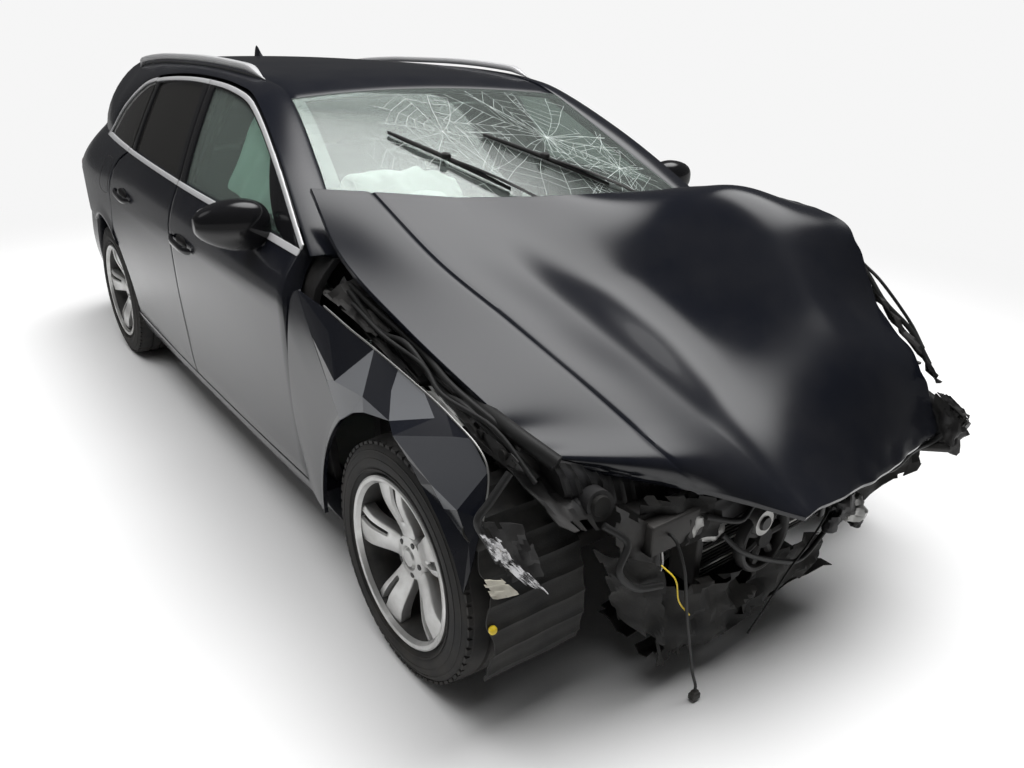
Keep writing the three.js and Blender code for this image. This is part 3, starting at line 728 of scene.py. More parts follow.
@dataclass(frozen=True)
class BodySide:
    """The body side's surface, the same as in the CAD."""

    shoulder: float = 870.0
    sections: tuple[tuple[float, ...], ...] = (
        (-700, 860, 780, 930), (0, 905, 815, 955), (550, 913, 832, 990), (1000, 919, 850, 1015),
        (1560, 921, 862, 1040), (2300, 919, 845, 1070), (2980, 905, 775, 1078), (3400, 855, 700, 1076),
        (3700, 745, 610, 1068))
    tucks: tuple[tuple[float, float], ...] = (
        (160, 105), (230, 62), (300, 36), (450, 20), (650, 6), (870, 0))
    strips: tuple[tuple[float, ...], ...] = (
        (545, 992, 735, 520, 988, 6), (910, 1200, 640, 880, 1187, 8), (1245, 1348, 574, 1205, 1353, 10),
        (1435, 1384, 572, 1400, 1402, 10), (1700, 1398, 582, 1690, 1422, 10),
        (2000, 1395, 582, 2000, 1428, 12),
        (2340, 1371, 568, 2340, 1426, 14), (2560, 1332, 556, 2600, 1422, 20),
        (2820, 1222, 535, 2900, 1413, 34),
        (2985, 1088, 515, 3120, 1404, 44), (3330, 1082, 496, 3330, 1392, 46),
        (3558, 1076, 482, 3440, 1382, 46))
    bottoms: tuple[tuple[float, float], ...] = ((400, 296), (1600, 296), (2300, 316), (3000, 331))
    rear_edge: tuple[tuple[float, float], ...] = (
        (330, 2426), (400, 2433), (500, 2467), (600, 2537), (660, 2592), (720, 2588), (810, 2540),
        (900, 2512),
        (970, 2500), (1020, 2452), (1060, 2352))

    def curves(self) -> "SideCurves":
        """Returns: the readings of the tables."""
        return SideCurves(self)


class SideCurves:
    """Readings of the body side's tables."""

    def __init__(self, side: BodySide) -> None:
        """Prepares the readings.

        Args:
            side: the tables.
        """
        self.shoulder_height = side.shoulder
        self.shoulder = Curve(side.sections, 1)
        self.belt_x = Curve(side.sections, 2)
        self.belt = Curve(side.sections, 3)
        self.tuck = Curve(side.tucks)
        self.bottom = Curve(side.bottoms)
        self.rear_edge = Curve(side.rear_edge)
        self.door_line = Curve([(r[0], r[1]) for r in side.strips])
        self.roof_edge = Curve([(r[3], r[4]) for r in side.strips])
        numbered = [(i, *r) for i, r in enumerate(side.strips)]
        self.strip = [Curve(numbered, column) for column in range(1, 7)]
        self.strip_end = len(side.strips) - 1

    def half_width(self, y: float, z: float) -> float:
        """Half width of the body.

        Args:
            y: station.
            z: height.

        Returns:
            The half width there.
        """
        if z <= self.shoulder_height:
            return self.shoulder(y) - self.tuck(z)
        up = z - self.belt(y)
        if up <= 0:
            t = (z - self.shoulder_height) / (self.belt(y) - self.shoulder_height)
            return lerp(self.shoulder(y), self.belt_x(y), t ** 1.6)
        return self.belt_x(y) - 0.47 * up - 0.000264 * up * up

    def at(self, side: Side, y: float, z: float, depth: float) -> Triple:
        """Point on the body side.

        Args:
            side: right or left.
            y: station.
            z: height.
            depth: distance inward.

        Returns:
            The point.
        """
        return side.value * (self.half_width(y, z) - depth), y, z

    def roof_strip(self, side: Side, u: float, t: float, lift: float = 0.0) -> Triple:
        """Point on the pillar and roof side strip.

        Args:
            side: right or left.
            u: station number in the strip's table.
            t: share from the doors to the roof.
            lift: distance outward.

        Returns:
            The point.
        """
        low_y, low_z, roof_x, roof_y, roof_z, bulge = (curve(u) for curve in self.strip)
        out = bulge * 4 * t * (1 - t) + lift
        x = lerp(self.half_width(low_y, low_z), roof_x, t) + out * lerp(0.9, 0.25, t)
        return side.value * x, lerp(low_y, roof_y, t), lerp(low_z, roof_z, t) + out * lerp(0.4, 0.97, t)


@dataclass
class Assembly:
    """A sub-assembly, with its maker of pieces and the body side that it is fitted to."""

    factory: Factory
    curves: SideCurves


def at_depth(point: Deep, depth: float) -> Place:
    """Gives one face of a thick sheet.

    Args:
        point: point of the sheet at two shares and a depth.
        depth: the face's depth.

    Returns:
        The face.
    """
    return lambda s, t: point(s, t, depth)


@dataclass
class Doors(Assembly):
    """Four doors with panes, bright strips, handles, mirrors and inner trim."""

    depth: float = 58.0
    frame_depth: float = 34.0
    rake: float = 95.0
    columns: Bands = Bands((4, 18, 3))
    rows: Bands = Bands((16, 2, 10, 2))
    handle_places: tuple[tuple[End, float, float], ...] = ((End.FRONT, 1452, 852), (End.REAR, 2268, 893))

    def borders(self, end: End, level: float, up: float) -> tuple[float, ...]:
        """Stations of the door's and pane's edges.

        Args:
            end: front or rear door.
            level: share of the height below the belt, then 1 to 2 across the belt's strip.
            up: share of the height above the belt.

        Returns:
            Door front, pane front, pane rear and door rear.
        """
        lean = self.rake * up
        if end is End.FRONT:
            front = 566 + 34 * ease((level - 0.8) / 0.2) + 60 * up
            return front, 730 + 250 * up, 1545 + lean, 1600 + lean
        below = self.curves.rear_edge(lerp(319, self.curves.belt(2420) - 12, min(level, 1.0)))
        rear = lerp(below, 2312, max(0.0, level - 1.0)) + 28 * up
        return 1607 + lean, 1657 + lean, rear - 48, rear

    def spot(self, end: End, s: float, t: float) -> tuple[float, float, int, int]:
        """Station and height of a grid point.

        Args:
            end: front or rear door.
            s: share along the columns.
            t: share along the rows.

        Returns:
            Station, height, column band and row band.
        """
        column, along = self.columns.locate(s)
        band, part = self.rows.locate(t)
        level = (part, 1.0 + part, 2.0, 2.0)[band]
        up = (0.0, 0.0, part, 1.0)[band]
        edges = self.borders(end, level, up)
        y = lerp(edges[column], edges[column + 1], along)
        pane_low = self.curves.belt(y) + 8
        pane_high = max(self.curves.door_line(y) - 34, pane_low + 2)
        high = max(self.curves.door_line(y) - 10, pane_high + 2)
        heights = (self.curves.bottom(y), self.curves.belt(y) - 12, pane_low, pane_high, high)
        return y, lerp(heights[band], heights[band + 1], part), column, band

    def pane_at(self, s: float, t: float) -> bool:
        """Tells whether a cell belongs to the pane.

        Args:
            s: share along the columns.
            t: share along the rows.

        Returns:
            True within the pane.
        """
        return self.columns.locate(s)[0] == 1 and self.rows.locate(t)[0] == 2

    def build(self) -> None:
        """Makes every door."""
        for side in Side:
            for end in End:
                self.leaf(side, end)
                self.trim(side, end)
                self.lining(side, end)
            self.mirror(side)
        for end, y, z in self.handle_places:
            for side in Side:
                self.handle(side, end, y, z)

    def leaf(self, side: Side, end: End) -> None:
        """Makes a door and its pane.

        Args:
            side: right or left.
            end: front or rear.
        """
        def outer(s: float, t: float) -> Triple:
            """Shown face of the door."""
            y, z, _, _ = self.spot(end, s, t)
            return self.curves.at(side, y, z, 0.0)

        def inner(s: float, t: float) -> Triple:
            """Back face of the door."""
            y, z, _, band = self.spot(end, s, t)
            return self.curves.at(side, y, z, self.depth if band == 0 else self.frame_depth)

        def shade(s: float, t: float) -> int:
            """Black above the belt, paint below."""
            return 1 if self.rows.locate(t)[0] >= 2 else 0

        body = f"door_{end.value}_{side.hand}"
        door = Mesh(Skin.PAINT, Skin.GLOSS_BLACK)
        door.panel(self.columns.cells, self.rows.cells, outer, inner, self.pane_at, shade, bevel=3.5)
        self.factory.place(f"{body}_skin", door, body, body)

        def pane(s: float, t: float, depth: float) -> Triple:
            """Point of the pane, a little under the frame.

            Args:
                s: share along.
                t: share across.
                depth: distance inward.

            Returns:
                The point.
            """
            edges = self.borders(end, 2.0, t)
            y = lerp(edges[1] - 4, edges[2] + 4, s)
            low = self.curves.belt(y) + 3
            z = lerp(low, max(self.curves.door_line(y) - 30, low + 2), t)
            return self.curves.at(side, y, z, depth)

        glass = Mesh(Skin.CLEAR if end is End.FRONT else Skin.PRIVACY)
        glass.panel(18, 10, at_depth(pane, 9.0), at_depth(pane, 13.0))
        self.factory.place(f"pane_{end.value}_{side.hand}", glass, body, f"glass_{end.value}_{side.hand}")

    def trim(self, side: Side, end: End) -> None:
        """Makes the bright strips along the belt and the top of a door.

        Args:
            side: right or left.
            end: front or rear.
        """
        low = self.borders(end, 1.0, 0.0)
        high = self.borders(end, 2.0, 1.0)

        def belt(s: float, t: float, depth: float) -> Triple:
            """Strip along the belt."""
            y = lerp(low[0] + 2, low[3] - 2, s)
            return self.curves.at(side, y, self.curves.belt(y) - 10 + 16 * t, depth)

        def top(s: float, t: float, depth: float) -> Triple:
            """Strip along the door's top edge."""
            y = lerp(low[0] if end is End.FRONT else high[0], high[3] - 1, s)
            return self.curves.at(side, y, self.curves.door_line(y) - 25 + 14 * t, depth)

        body = f"door_{end.value}_{side.hand}"
        bright = Mesh(Skin.BRIGHT)
        bright.panel(24, 2, at_depth(belt, -4.0), at_depth(belt, 2.0), bevel=2.0)
        bright.panel(28, 2, at_depth(top, -4.0), at_depth(top, 2.0), bevel=2.0)
        self.factory.place(f"{body}_bright_strips", bright, body)

    def lining(self, side: Side, end: End) -> None:
        """Makes a door's inner trim with its armrest and pocket.

        Args:
            side: right or left.
            end: front or rear.
        """
        def face(s: float, t: float) -> Triple:
            """Trim with a swelling armrest and a sunk pocket.

            Args:
                s: share along.
                t: share across.

            Returns:
                The point.
            """
            level = lerp(0.06, 0.97, t)
            edges = self.borders(end, level, 0.0)
            y = lerp(edges[0] + 45, edges[3] - 45, s)
            z = lerp(self.curves.bottom(y), self.curves.belt(y) - 12, level)
            rest = 38 * ease(1 - abs(t - 0.62) / 0.1) * ease(min(s, 1 - s) / 0.22)
            pocket = 20 * ease(1 - abs(t - 0.18) / 0.14) * ease(min(s, 1 - s) / 0.12)
            rim = 8 * ease(min(s, 1 - s, t, 1 - t) / 0.05)
            return self.curves.at(side, y, z, self.depth + rim + rest + pocket)

        def back(s: float, t: float) -> Triple:
            """Back of the trim, within the door."""
            _, y, z = face(s, t)
            return side.value * (self.curves.half_width(y, z) - self.depth + 2), y, z

        body = f"door_{end.value}_{side.hand}"
        mesh = Mesh(Skin.PLASTIC)
        mesh.panel(22, 28, face, back)
        self.factory.place(f"{body}_lining", mesh, body)

    def handle(self, side: Side, end: End, y: float, z: float) -> None:
        """Makes a bar handle over its dark cup.

        Args:
            side: right or left.
            end: front or rear door.
            y: middle station.
            z: middle height.
        """
        x = self.curves.half_width(y, z)
        mesh = Mesh(Skin.GLOSS_BLACK, Skin.PLASTIC)

        def grip(s: float, a: float) -> Triple:
            """Bowed bar, flat on its back.

            Args:
                s: share along.
                a: angle around.

            Returns:
                The point.
            """
            along = 2 * s - 1
            swell = math.sqrt(max(0.0, 1 - along ** 8))
            out = 6 + 26 * (1 - along ** 4)
            depth = out + 8 * math.cos(a) * swell
            return (side.value * (self.curves.half_width(y + 104 * along, z) + depth - 8), y + 104 * along,
                    z + 10 * along + 15 * math.sin(a) * swell)

        mesh.loft(20, 14, grip)
        mesh.lump((side.value * (x - 2), y + 8, z), (7, 62, 30), 2.4, skin=1)
        body = f"door_{end.value}_{side.hand}"
        self.factory.place(f"{body}_handle", mesh, body)

    def mirror(self, side: Side) -> None:
        """Makes a door mirror with its arm, shell and glass.

        Args:
            side: right or left.
        """
        def shell(s: float, a: float) -> Triple:
            """Housing that narrows towards the arm, blunt at the rear.

            Args:
                s: share along.
                a: angle around.

            Returns:
                The point.
            """
            x = lerp(834, 1043, s)
            full = bulge(lerp(0.12, 0.985, s ** 0.8), 0.02, 0.985, 0.42)
            across, up = squared(a, 2.6)
            forward = 70 if across > 0 else 42
            return (side.value * x, 850 - forward * across * full - 26 * s + 30 * s * s,
                    1030 + 76 * up * full + 10 * s)

        mesh = Mesh(Skin.GLOSS_BLACK, Skin.PLASTIC, Skin.CHROME)
        mesh.loft(26, 28, shell)
        mesh.loft(8, 12, lambda s, a: (side.value * lerp(815, 885, s), lerp(792, 838, s) + 30 * math.cos(a),
                                       lerp(968, 984, s) + 17 * math.sin(a)), skin=1)

        def glass(s: float, t: float) -> Triple:
            """Mirror glass on the rear face."""
            round_off = 1 - 0.25 * abs(2 * s - 1) ** 3
            return side.value * lerp(866, 1020, s), 889 - 6 * s, 1034 + 112 * (t - 0.5) * round_off

        mesh.panel(10, 6, glass, lambda s, t: (glass(s, t)[0], glass(s, t)[1] - 8, glass(s, t)[2]),
                   shade=lambda s, t: 2)
        body = f"door_front_{side.hand}"
        self.factory.place(f"mirror_{side.hand}", mesh, body)


@dataclass
class SideFrames(Assembly):
    """Sills, posts, roof strips, rear quarters, rails and tail lamps."""

    arch_radius: float = 386.0
    bumper_top: float = 655.6
    sill_inner: float = 745.0
    post_depth: tuple[float, float] = (68.0, 92.0)
    columns: Bands = Bands((44, 26))
    quarter_low: float = 615.0
    lamp: tuple[float, float, float, float] = (3420, 3656, 752, 912)

    def build(self) -> None:
        """Makes both sides."""
        for side in Side:
            self.frame(side)
            self.quarter(side)
            self.rail(side)
            self.lamps(side)

    def frame(self, side: Side) -> None:
        """Makes the roof strip, sill and posts.

        Args:
            side: right or left.
        """
        end = self.curves.strip_end
        mesh = Mesh(Skin.PAINT, Skin.PLASTIC)

        def strip_inner(s: float, t: float) -> Triple:
            """Inner face of the strip."""
            x, y, z = self.curves.roof_strip(side, s * end, t)
            return x - side.value * 96 * (1 - t), y, z - lerp(8, 42, t)

        mesh.panel(88, 8, lambda s, t: self.curves.roof_strip(side, s * end, t), strip_inner, bevel=2.0)

        def sill(s: float, t: float) -> Triple:
            """Outer face of the sill."""
            y = lerp(480, 2470, s)
            return self.curves.at(side, y, lerp(165, self.curves.bottom(y) - 7, t), 0.0)

        def sill_back(s: float, t: float) -> Triple:
            """Inner face of the sill."""
            return side.value * self.sill_inner, sill(s, t)[1], sill(s, t)[2]

        mesh.panel(40, 8, sill, sill_back, bevel=4.0)
        low, high = self.post_depth
        posts = (
            (lambda t: 520.0, lambda t: 640.0, lambda y: 230.0, lambda y: 982.0),
            (lambda t: 1545 + 85 * t, lambda t: 1665 + 85 * t, lambda y: 230.0,
             lambda y: self.curves.door_line(y) - 3),
            (lambda t: self.curves.rear_edge(lerp(230, 1072, t)) - 40,
             lambda t: self.curves.rear_edge(lerp(230, 1072, t)) + 58,
             lambda y: 230.0, self.curves.belt),
            (lambda t: 2296 + 28 * t, lambda t: 2346 + 28 * t, self.curves.belt,
             lambda y: self.curves.door_line(y) - 3),
        )
        for front, rear, foot, top in posts:
            def post(s: float, t: float, depth: float) -> Triple:
                """Point of a post."""
                y = lerp(front(t), rear(t), s)
                return self.curves.at(side, y, lerp(foot(y), top(y), t), depth)

            mesh.panel(6, 20, at_depth(post, low), at_depth(post, high), shade=lambda s, t: 1, bevel=3.0)
        self.factory.place(f"side_frame_{side.hand}_skin", mesh, "shell", f"side_frame_{side.hand}")

    def quarter(self, side: Side) -> None:
        """Makes the rear quarter with its arch, pane, strips and fuel flap.

        Args:
            side: right or left.
        """
        radius = self.arch_radius
        meet = math.acos(-math.sqrt(radius ** 2 - (self.bumper_top - HUB_HEIGHT) ** 2) / radius)
        begin = math.asin((self.quarter_low - HUB_HEIGHT) / radius)

        def base(s: float) -> tuple[float, float]:
            """Station and height of the panel's lower edge.

            Args:
                s: share along.

            Returns:
                Station and height.
            """
            band, part = self.columns.locate(s)
            if band == 0:
                turn = lerp(begin, meet, part)
                return WHEELBASE - radius * math.cos(turn), HUB_HEIGHT + radius * math.sin(turn)
            return lerp(WHEELBASE - radius * math.cos(meet), 3650, part), self.bumper_top

        def face(s: float, t: float, depth: float) -> Triple:
            """Point of the quarter.

            Args:
                s: share along.
                t: share across.
                depth: distance inward.

            Returns:
                The point.
            """
            y, low = base(s)
            edge = self.curves.rear_edge(lerp(self.quarter_low, self.curves.belt(2420), t))
            lead = edge + 9 - base(0.0)[0]
            y += lead * (1 - s) ** 5 - 88 * max(0.0, (t - 0.55) / 0.45) ** 1.5 * s ** 5
            z = lerp(low, self.curves.belt(y) + 6, t)
            flare = 7 * ease(1 - abs(math.hypot(y - WHEELBASE, z - HUB_HEIGHT) - radius) / 60)
            return self.curves.at(side, y, z, depth - (flare if depth < 20 else 0))

        mesh = Mesh(Skin.PAINT, Skin.BRIGHT, Skin.PLASTIC)
        mesh.panel(self.columns.cells, 22, at_depth(face, 0.0), at_depth(face, 70.0), bevel=5.0)

        def strip(s: float, t: float, depth: float) -> Triple:
            """Bright strip along the belt behind the rear door."""
            y = lerp(2363, 2990, s)
            return self.curves.at(side, y, self.curves.belt(y) - 10 + 16 * t, depth)

        def arc(s: float, t: float, depth: float) -> Triple:
            """Bright strip over the quarter pane.

            Args:
                s: share along.
                t: share across.
                depth: distance inward.

            Returns:
                The point.
            """
            y = lerp(2351, 2990, s)
            low = max(self.curves.door_line(y) - 22, self.curves.belt(y) - 8)
            return self.curves.at(side, y, low + 15 * t, depth)

        mesh.panel(20, 2, at_depth(strip, -4.0), at_depth(strip, 3.0), shade=lambda s, t: 1, bevel=2.0)
        mesh.panel(26, 2, at_depth(arc, -5.0), at_depth(arc, 4.0), shade=lambda s, t: 1, bevel=2.0)
        if side is Side.RIGHT:
            def flap(s: float, a: float) -> Triple:
                """Groove around the fuel flap.

                Args:
                    s: share along.
                    a: angle around.

                Returns:
                    The point.
                """
                across, up = squared(2 * math.pi * s, 4)
                y = 2640 + (82 + 1.6 * math.cos(a)) * across
                z = 930 + (78 + 1.6 * math.cos(a)) * up
                return self.curves.at(side, y, z, 0.6 * math.sin(a))

            mesh.loft(56, 6, flap, skin=2)
        self.factory.place(f"quarter_{side.hand}", mesh, "shell")

        def pane(s: float, t: float, depth: float) -> Triple:
            """Point of the pane.

            Args:
                s: share along.
                t: share across.
                depth: distance inward.

            Returns:
                The point.
            """
            y = lerp(2352 + 28 * t, 2968, s)
            low = self.curves.belt(y) + 2
            return self.curves.at(side, y, lerp(low, max(self.curves.door_line(y), low + 1), t), depth)

        glass = Mesh(Skin.PRIVACY)
        glass.panel(16, 10, at_depth(pane, 6.0), at_depth(pane, 11.0))
        self.factory.place(f"quarter_pane_{side.hand}", glass, "shell", f"glass_quarter_{side.hand}")

    def rail(self, side: Side) -> None:
        """Makes a roof rail that runs out into the roof at both ends.

        Args:
            side: right or left.
        """
        def bar(s: float, a: float) -> Triple:
            """Rounded bar that dips to the roof at both ends.

            Args:
                s: share along.
                a: angle around.

            Returns:
                The point.
            """
            rise = ease(min(s, 1 - s) / 0.09)
            thick = 0.12 + 0.88 * ease(min(s, 1 - s) / 0.08)
            x, y, z = self.curves.roof_strip(side, lerp(2.9, 8.95, s), 0.84)
            across, up = squared(a, 3)
            return x + 17 * thick * across, y, z + 3 + 20 * rise + 13 * thick * up

        mesh = Mesh(Skin.BRIGHT)
        mesh.loft(70, 16, bar)
        self.factory.place(f"rail_{side.hand}", mesh, "shell", f"roof_rail_{side.hand}")

    def lamps(self, side: Side) -> None:
        """Makes a tail lamp lens.

        Args:
            side: right or left.
        """
        front, rear, low, high = self.lamp

        def lens(s: float, t: float, depth: float) -> Triple:
            """Point of the lens, raked at its front edge.

            Args:
                s: share along.
                t: share across.
                depth: distance inward.

            Returns:
                The point.
            """
            y = lerp(front + 90 * (1 - t), rear - 26 * t, s)
            swell = 7 * ease(min(s, 1 - s, t, 1 - t) / 0.12)
            return self.curves.at(side, y, lerp(low, high, t), depth - (swell if depth < 10 else 0))

        mesh = Mesh(Skin.LAMP)
        mesh.panel(18, 12, at_depth(lens, 1.0), at_depth(lens, 40.0))
        self.factory.place(f"lamp_{side.hand}", mesh, "shell", f"tail_lamp_{side.hand}")


@dataclass
class Top(Assembly):
    """Roof panel, windscreen with cracks, and wipers."""

    crown: float = 24.0
    front_bow: float = 55.0
    base_bow: float = 62.0
    glass_top: float = 2.0
    wipers: tuple[tuple[Side, float, float, float, float], ...] = (
        (Side.RIGHT, 0.51, 0.1, 0.225, 0.63), (Side.LEFT, 0.83, 0.08, 0.515, 0.57))
    cracks: tuple[tuple[float, float, float, int], ...] = (
        (0.74, 0.55, 0.3, 23), (0.22, 0.16, 0.24, 13), (0.4, 0.62, 0.2, 11), (0.88, 0.3, 0.2, 19))

    def screen(self, s: float, t: float, lift: float) -> Triple:
        """Point on the windscreen.

        Args:
            s: share across from the right.
            t: share up.
            lift: distance outward.

        Returns:
            The point.
        """
        across = 2 * s - 1
        bowed = 1 - across * across
        u = self.glass_top * t
        y = self.curves.strip[3](u) + lerp(-self.base_bow, self.front_bow, t) * bowed - 3.7 * t
        z = self.curves.strip[4](u) + lerp(16, self.crown, t) * bowed
        return across * (self.curves.strip[2](u) - 0.9), y - 0.5 * lift, z + 0.86 * lift

    def build(self) -> None:
        """Makes the roof, glass and wipers."""
        self.roof()
        glass = Mesh(Skin.SCREEN)
        glass.panel(24, 16, lambda s, t: self.screen(s, t, 0), lambda s, t: self.screen(s, t, -6))
        self.factory.place("windscreen_glass", glass, "shell", "windscreen")
        edge = Mesh(Skin.GLOSS_BLACK)

        def border(s: float, t: float) -> bool:
            """True away from the black edge band."""
            return 0.035 < s < 0.965 and 0.06 < t < 0.95

        edge.panel(80, 50, lambda s, t: self.screen(s, t, -7), hole=border)
        self.factory.place("windscreen_edge", edge, "shell")
        self.shatter()
        for side, s0, t0, s1, t1 in self.wipers:
            self.wiper(side, (s0, t0), (s1, t1))

    def roof(self) -> None:
        """Makes the roof panel with its fin and lining."""
        def face(s: float, t: float, drop: float) -> Triple:
            """Point of the roof.

            Args:
                s: share along.
                t: share across.
                drop: distance down.

            Returns:
                The point.
            """
            across = 2 * s - 1
            bowed = 1 - across * across
            u = lerp(self.glass_top, self.curves.strip_end, t)
            y = self.curves.strip[3](u) + lerp(self.front_bow, 30, t) * bowed
            ditch = 6 * ease(1 - (1 - abs(across)) / 0.035)
            x = across * (self.curves.strip[2](u) - 0.5)
            return x, y, self.curves.strip[4](u) + self.crown * bowed - drop - ditch

        mesh = Mesh(Skin.PAINT, Skin.LINING)
        mesh.panel(40, 60, at_depth(face, 0.0), at_depth(face, 20.0), bevel=2.0)
        mesh.panel(20, 24, at_depth(face, 23.0), shade=lambda s, t: 1)
        base = self.curves.roof_edge(2940) + self.crown - 6

        def fin(s: float, a: float) -> Triple:
            """Aerial fin, thick at its root.

            Args:
                s: share along.
                a: angle around.

            Returns:
                The point.
            """
            y = lerp(2882, 3006, s)
            high = 58 * ease(s / 0.75) * (1 - 0.55 * max(0.0, (s - 0.75) / 0.25) ** 2)
            up = max(0.0, math.sin(a))
            return 17 * math.cos(a) * (1 - 0.8 * up) * bulge(s, 0.03, 0.98, 0.5), y, base + high * up

        mesh.loft(20, 20, fin)
        self.factory.place("roof_skin", mesh, "shell", "roof_panel")

    def shatter(self) -> None:
        """Draws the cracks as fine ribbons on the glass."""
        luck = random.Random(7)
        mesh = Mesh(Skin.CRACK)

        def ribbon(a: tuple[float, float], b: tuple[float, float], width: float) -> None:
            """Lays a ribbon from a to b on the glass.

            Args:
                a: its start.
                b: its end.
                width: its width.
            """
            if not all(0.02 < p[0] < 0.98 and 0.03 < p[1] < 0.97 for p in (a, b)):
                return
            start = row(*self.screen(*a, 0.5))
            stop = row(*self.screen(*b, 0.5))
            side = (stop - start).cross(Vector((0, -0.5, 0.86))).normalized() * width / 2000
            verts = [mesh.bm.verts.new(p) for p in (start - side, start + side, stop + side, stop - side)]
            mesh.bm.faces.new(verts)

        for s0, t0, reach, rays in self.cracks:
            spokes = []
            for i in range(rays):
                turn = 2 * math.pi * (i + luck.uniform(-0.3, 0.3)) / rays
                points = [(s0, t0)]
                steps = luck.randint(6, 10)
                for k in range(1, steps + 1):
                    turn += luck.uniform(-0.16, 0.16)
                    far = reach * luck.uniform(0.8, 1.3) / steps
                    points.append((points[-1][0] + far * math.cos(turn),
                                   points[-1][1] + far * 1.6 * math.sin(turn)))
                spokes.append(points)
                for a, b in zip(points, points[1:]):
                    ribbon(a, b, luck.uniform(0.6, 1.1))
            for i, points in enumerate(spokes):
                other = spokes[(i + 1) % rays]
                for k in range(1, min(len(points), len(other))):
                    if luck.random() < 0.72:
                        ribbon(points[k], other[k], luck.uniform(0.5, 0.9))
        self.factory.place("windscreen_cracks", mesh, "shell")

    def wiper(self, side: Side, pivot: tuple[float, float], tip: tuple[float, float]) -> None:
        """Makes a wiper with its arm and blade.

        Args:
            side: the wiper's place in the node names.
            pivot: where it starts on the glass.
            tip: where it ends.
        """
        def line(share: float, lift: float, shift: float = 0.0) -> Triple:
            """Point along the wiper."""
            return self.screen(lerp(pivot[0], tip[0], share) + shift, lerp(pivot[1], tip[1], share), lift)

        def arm(s: float, a: float) -> Triple:
            """Bowed arm from the pivot to the blade.

            Args:
                s: share along.
                a: angle around.

            Returns:
                The point.
            """
            x, y, z = line(lerp(0.0, 0.64, s), 9 + 16 * math.sin(math.pi * s) ** 0.7, 0.006 * (1 - s))
            wide = lerp(19, 11, s)
            return x + wide * 0.5 * math.cos(a), y + wide * 0.6 * math.cos(a), z + 5 * math.sin(a)

        def blade(s: float, a: float) -> Triple:
            """Slim blade along the outer part.

            Args:
                s: share along.
                a: angle around.

            Returns:
                The point.
            """
            x, y, z = line(lerp(0.22, 1.0, s), 9 + 5 * math.sin(math.pi * s))
            slim = 0.4 + 0.6 * bulge(s, 0.03, 0.97, 0.3)
            return x + 8 * slim * math.cos(a), y + 8 * slim * math.cos(a), z + 9 * slim * math.sin(a)

        mesh = Mesh(Skin.PLASTIC)
        mesh.loft(16, 8, arm)
        mesh.loft(24, 8, blade)
        x, y, z = line(0.0, 12)
        mesh.lump((x, y, z), (20, 22, 18), 2.5, cells=16)
        x, y, z = line(0.62, 20)
        mesh.lump((x, y, z), (16, 20, 12), 3.0, cells=12)
        self.factory.place(f"wiper_{side.hand}_arm", mesh, "shell", f"wiper_{side.hand}")


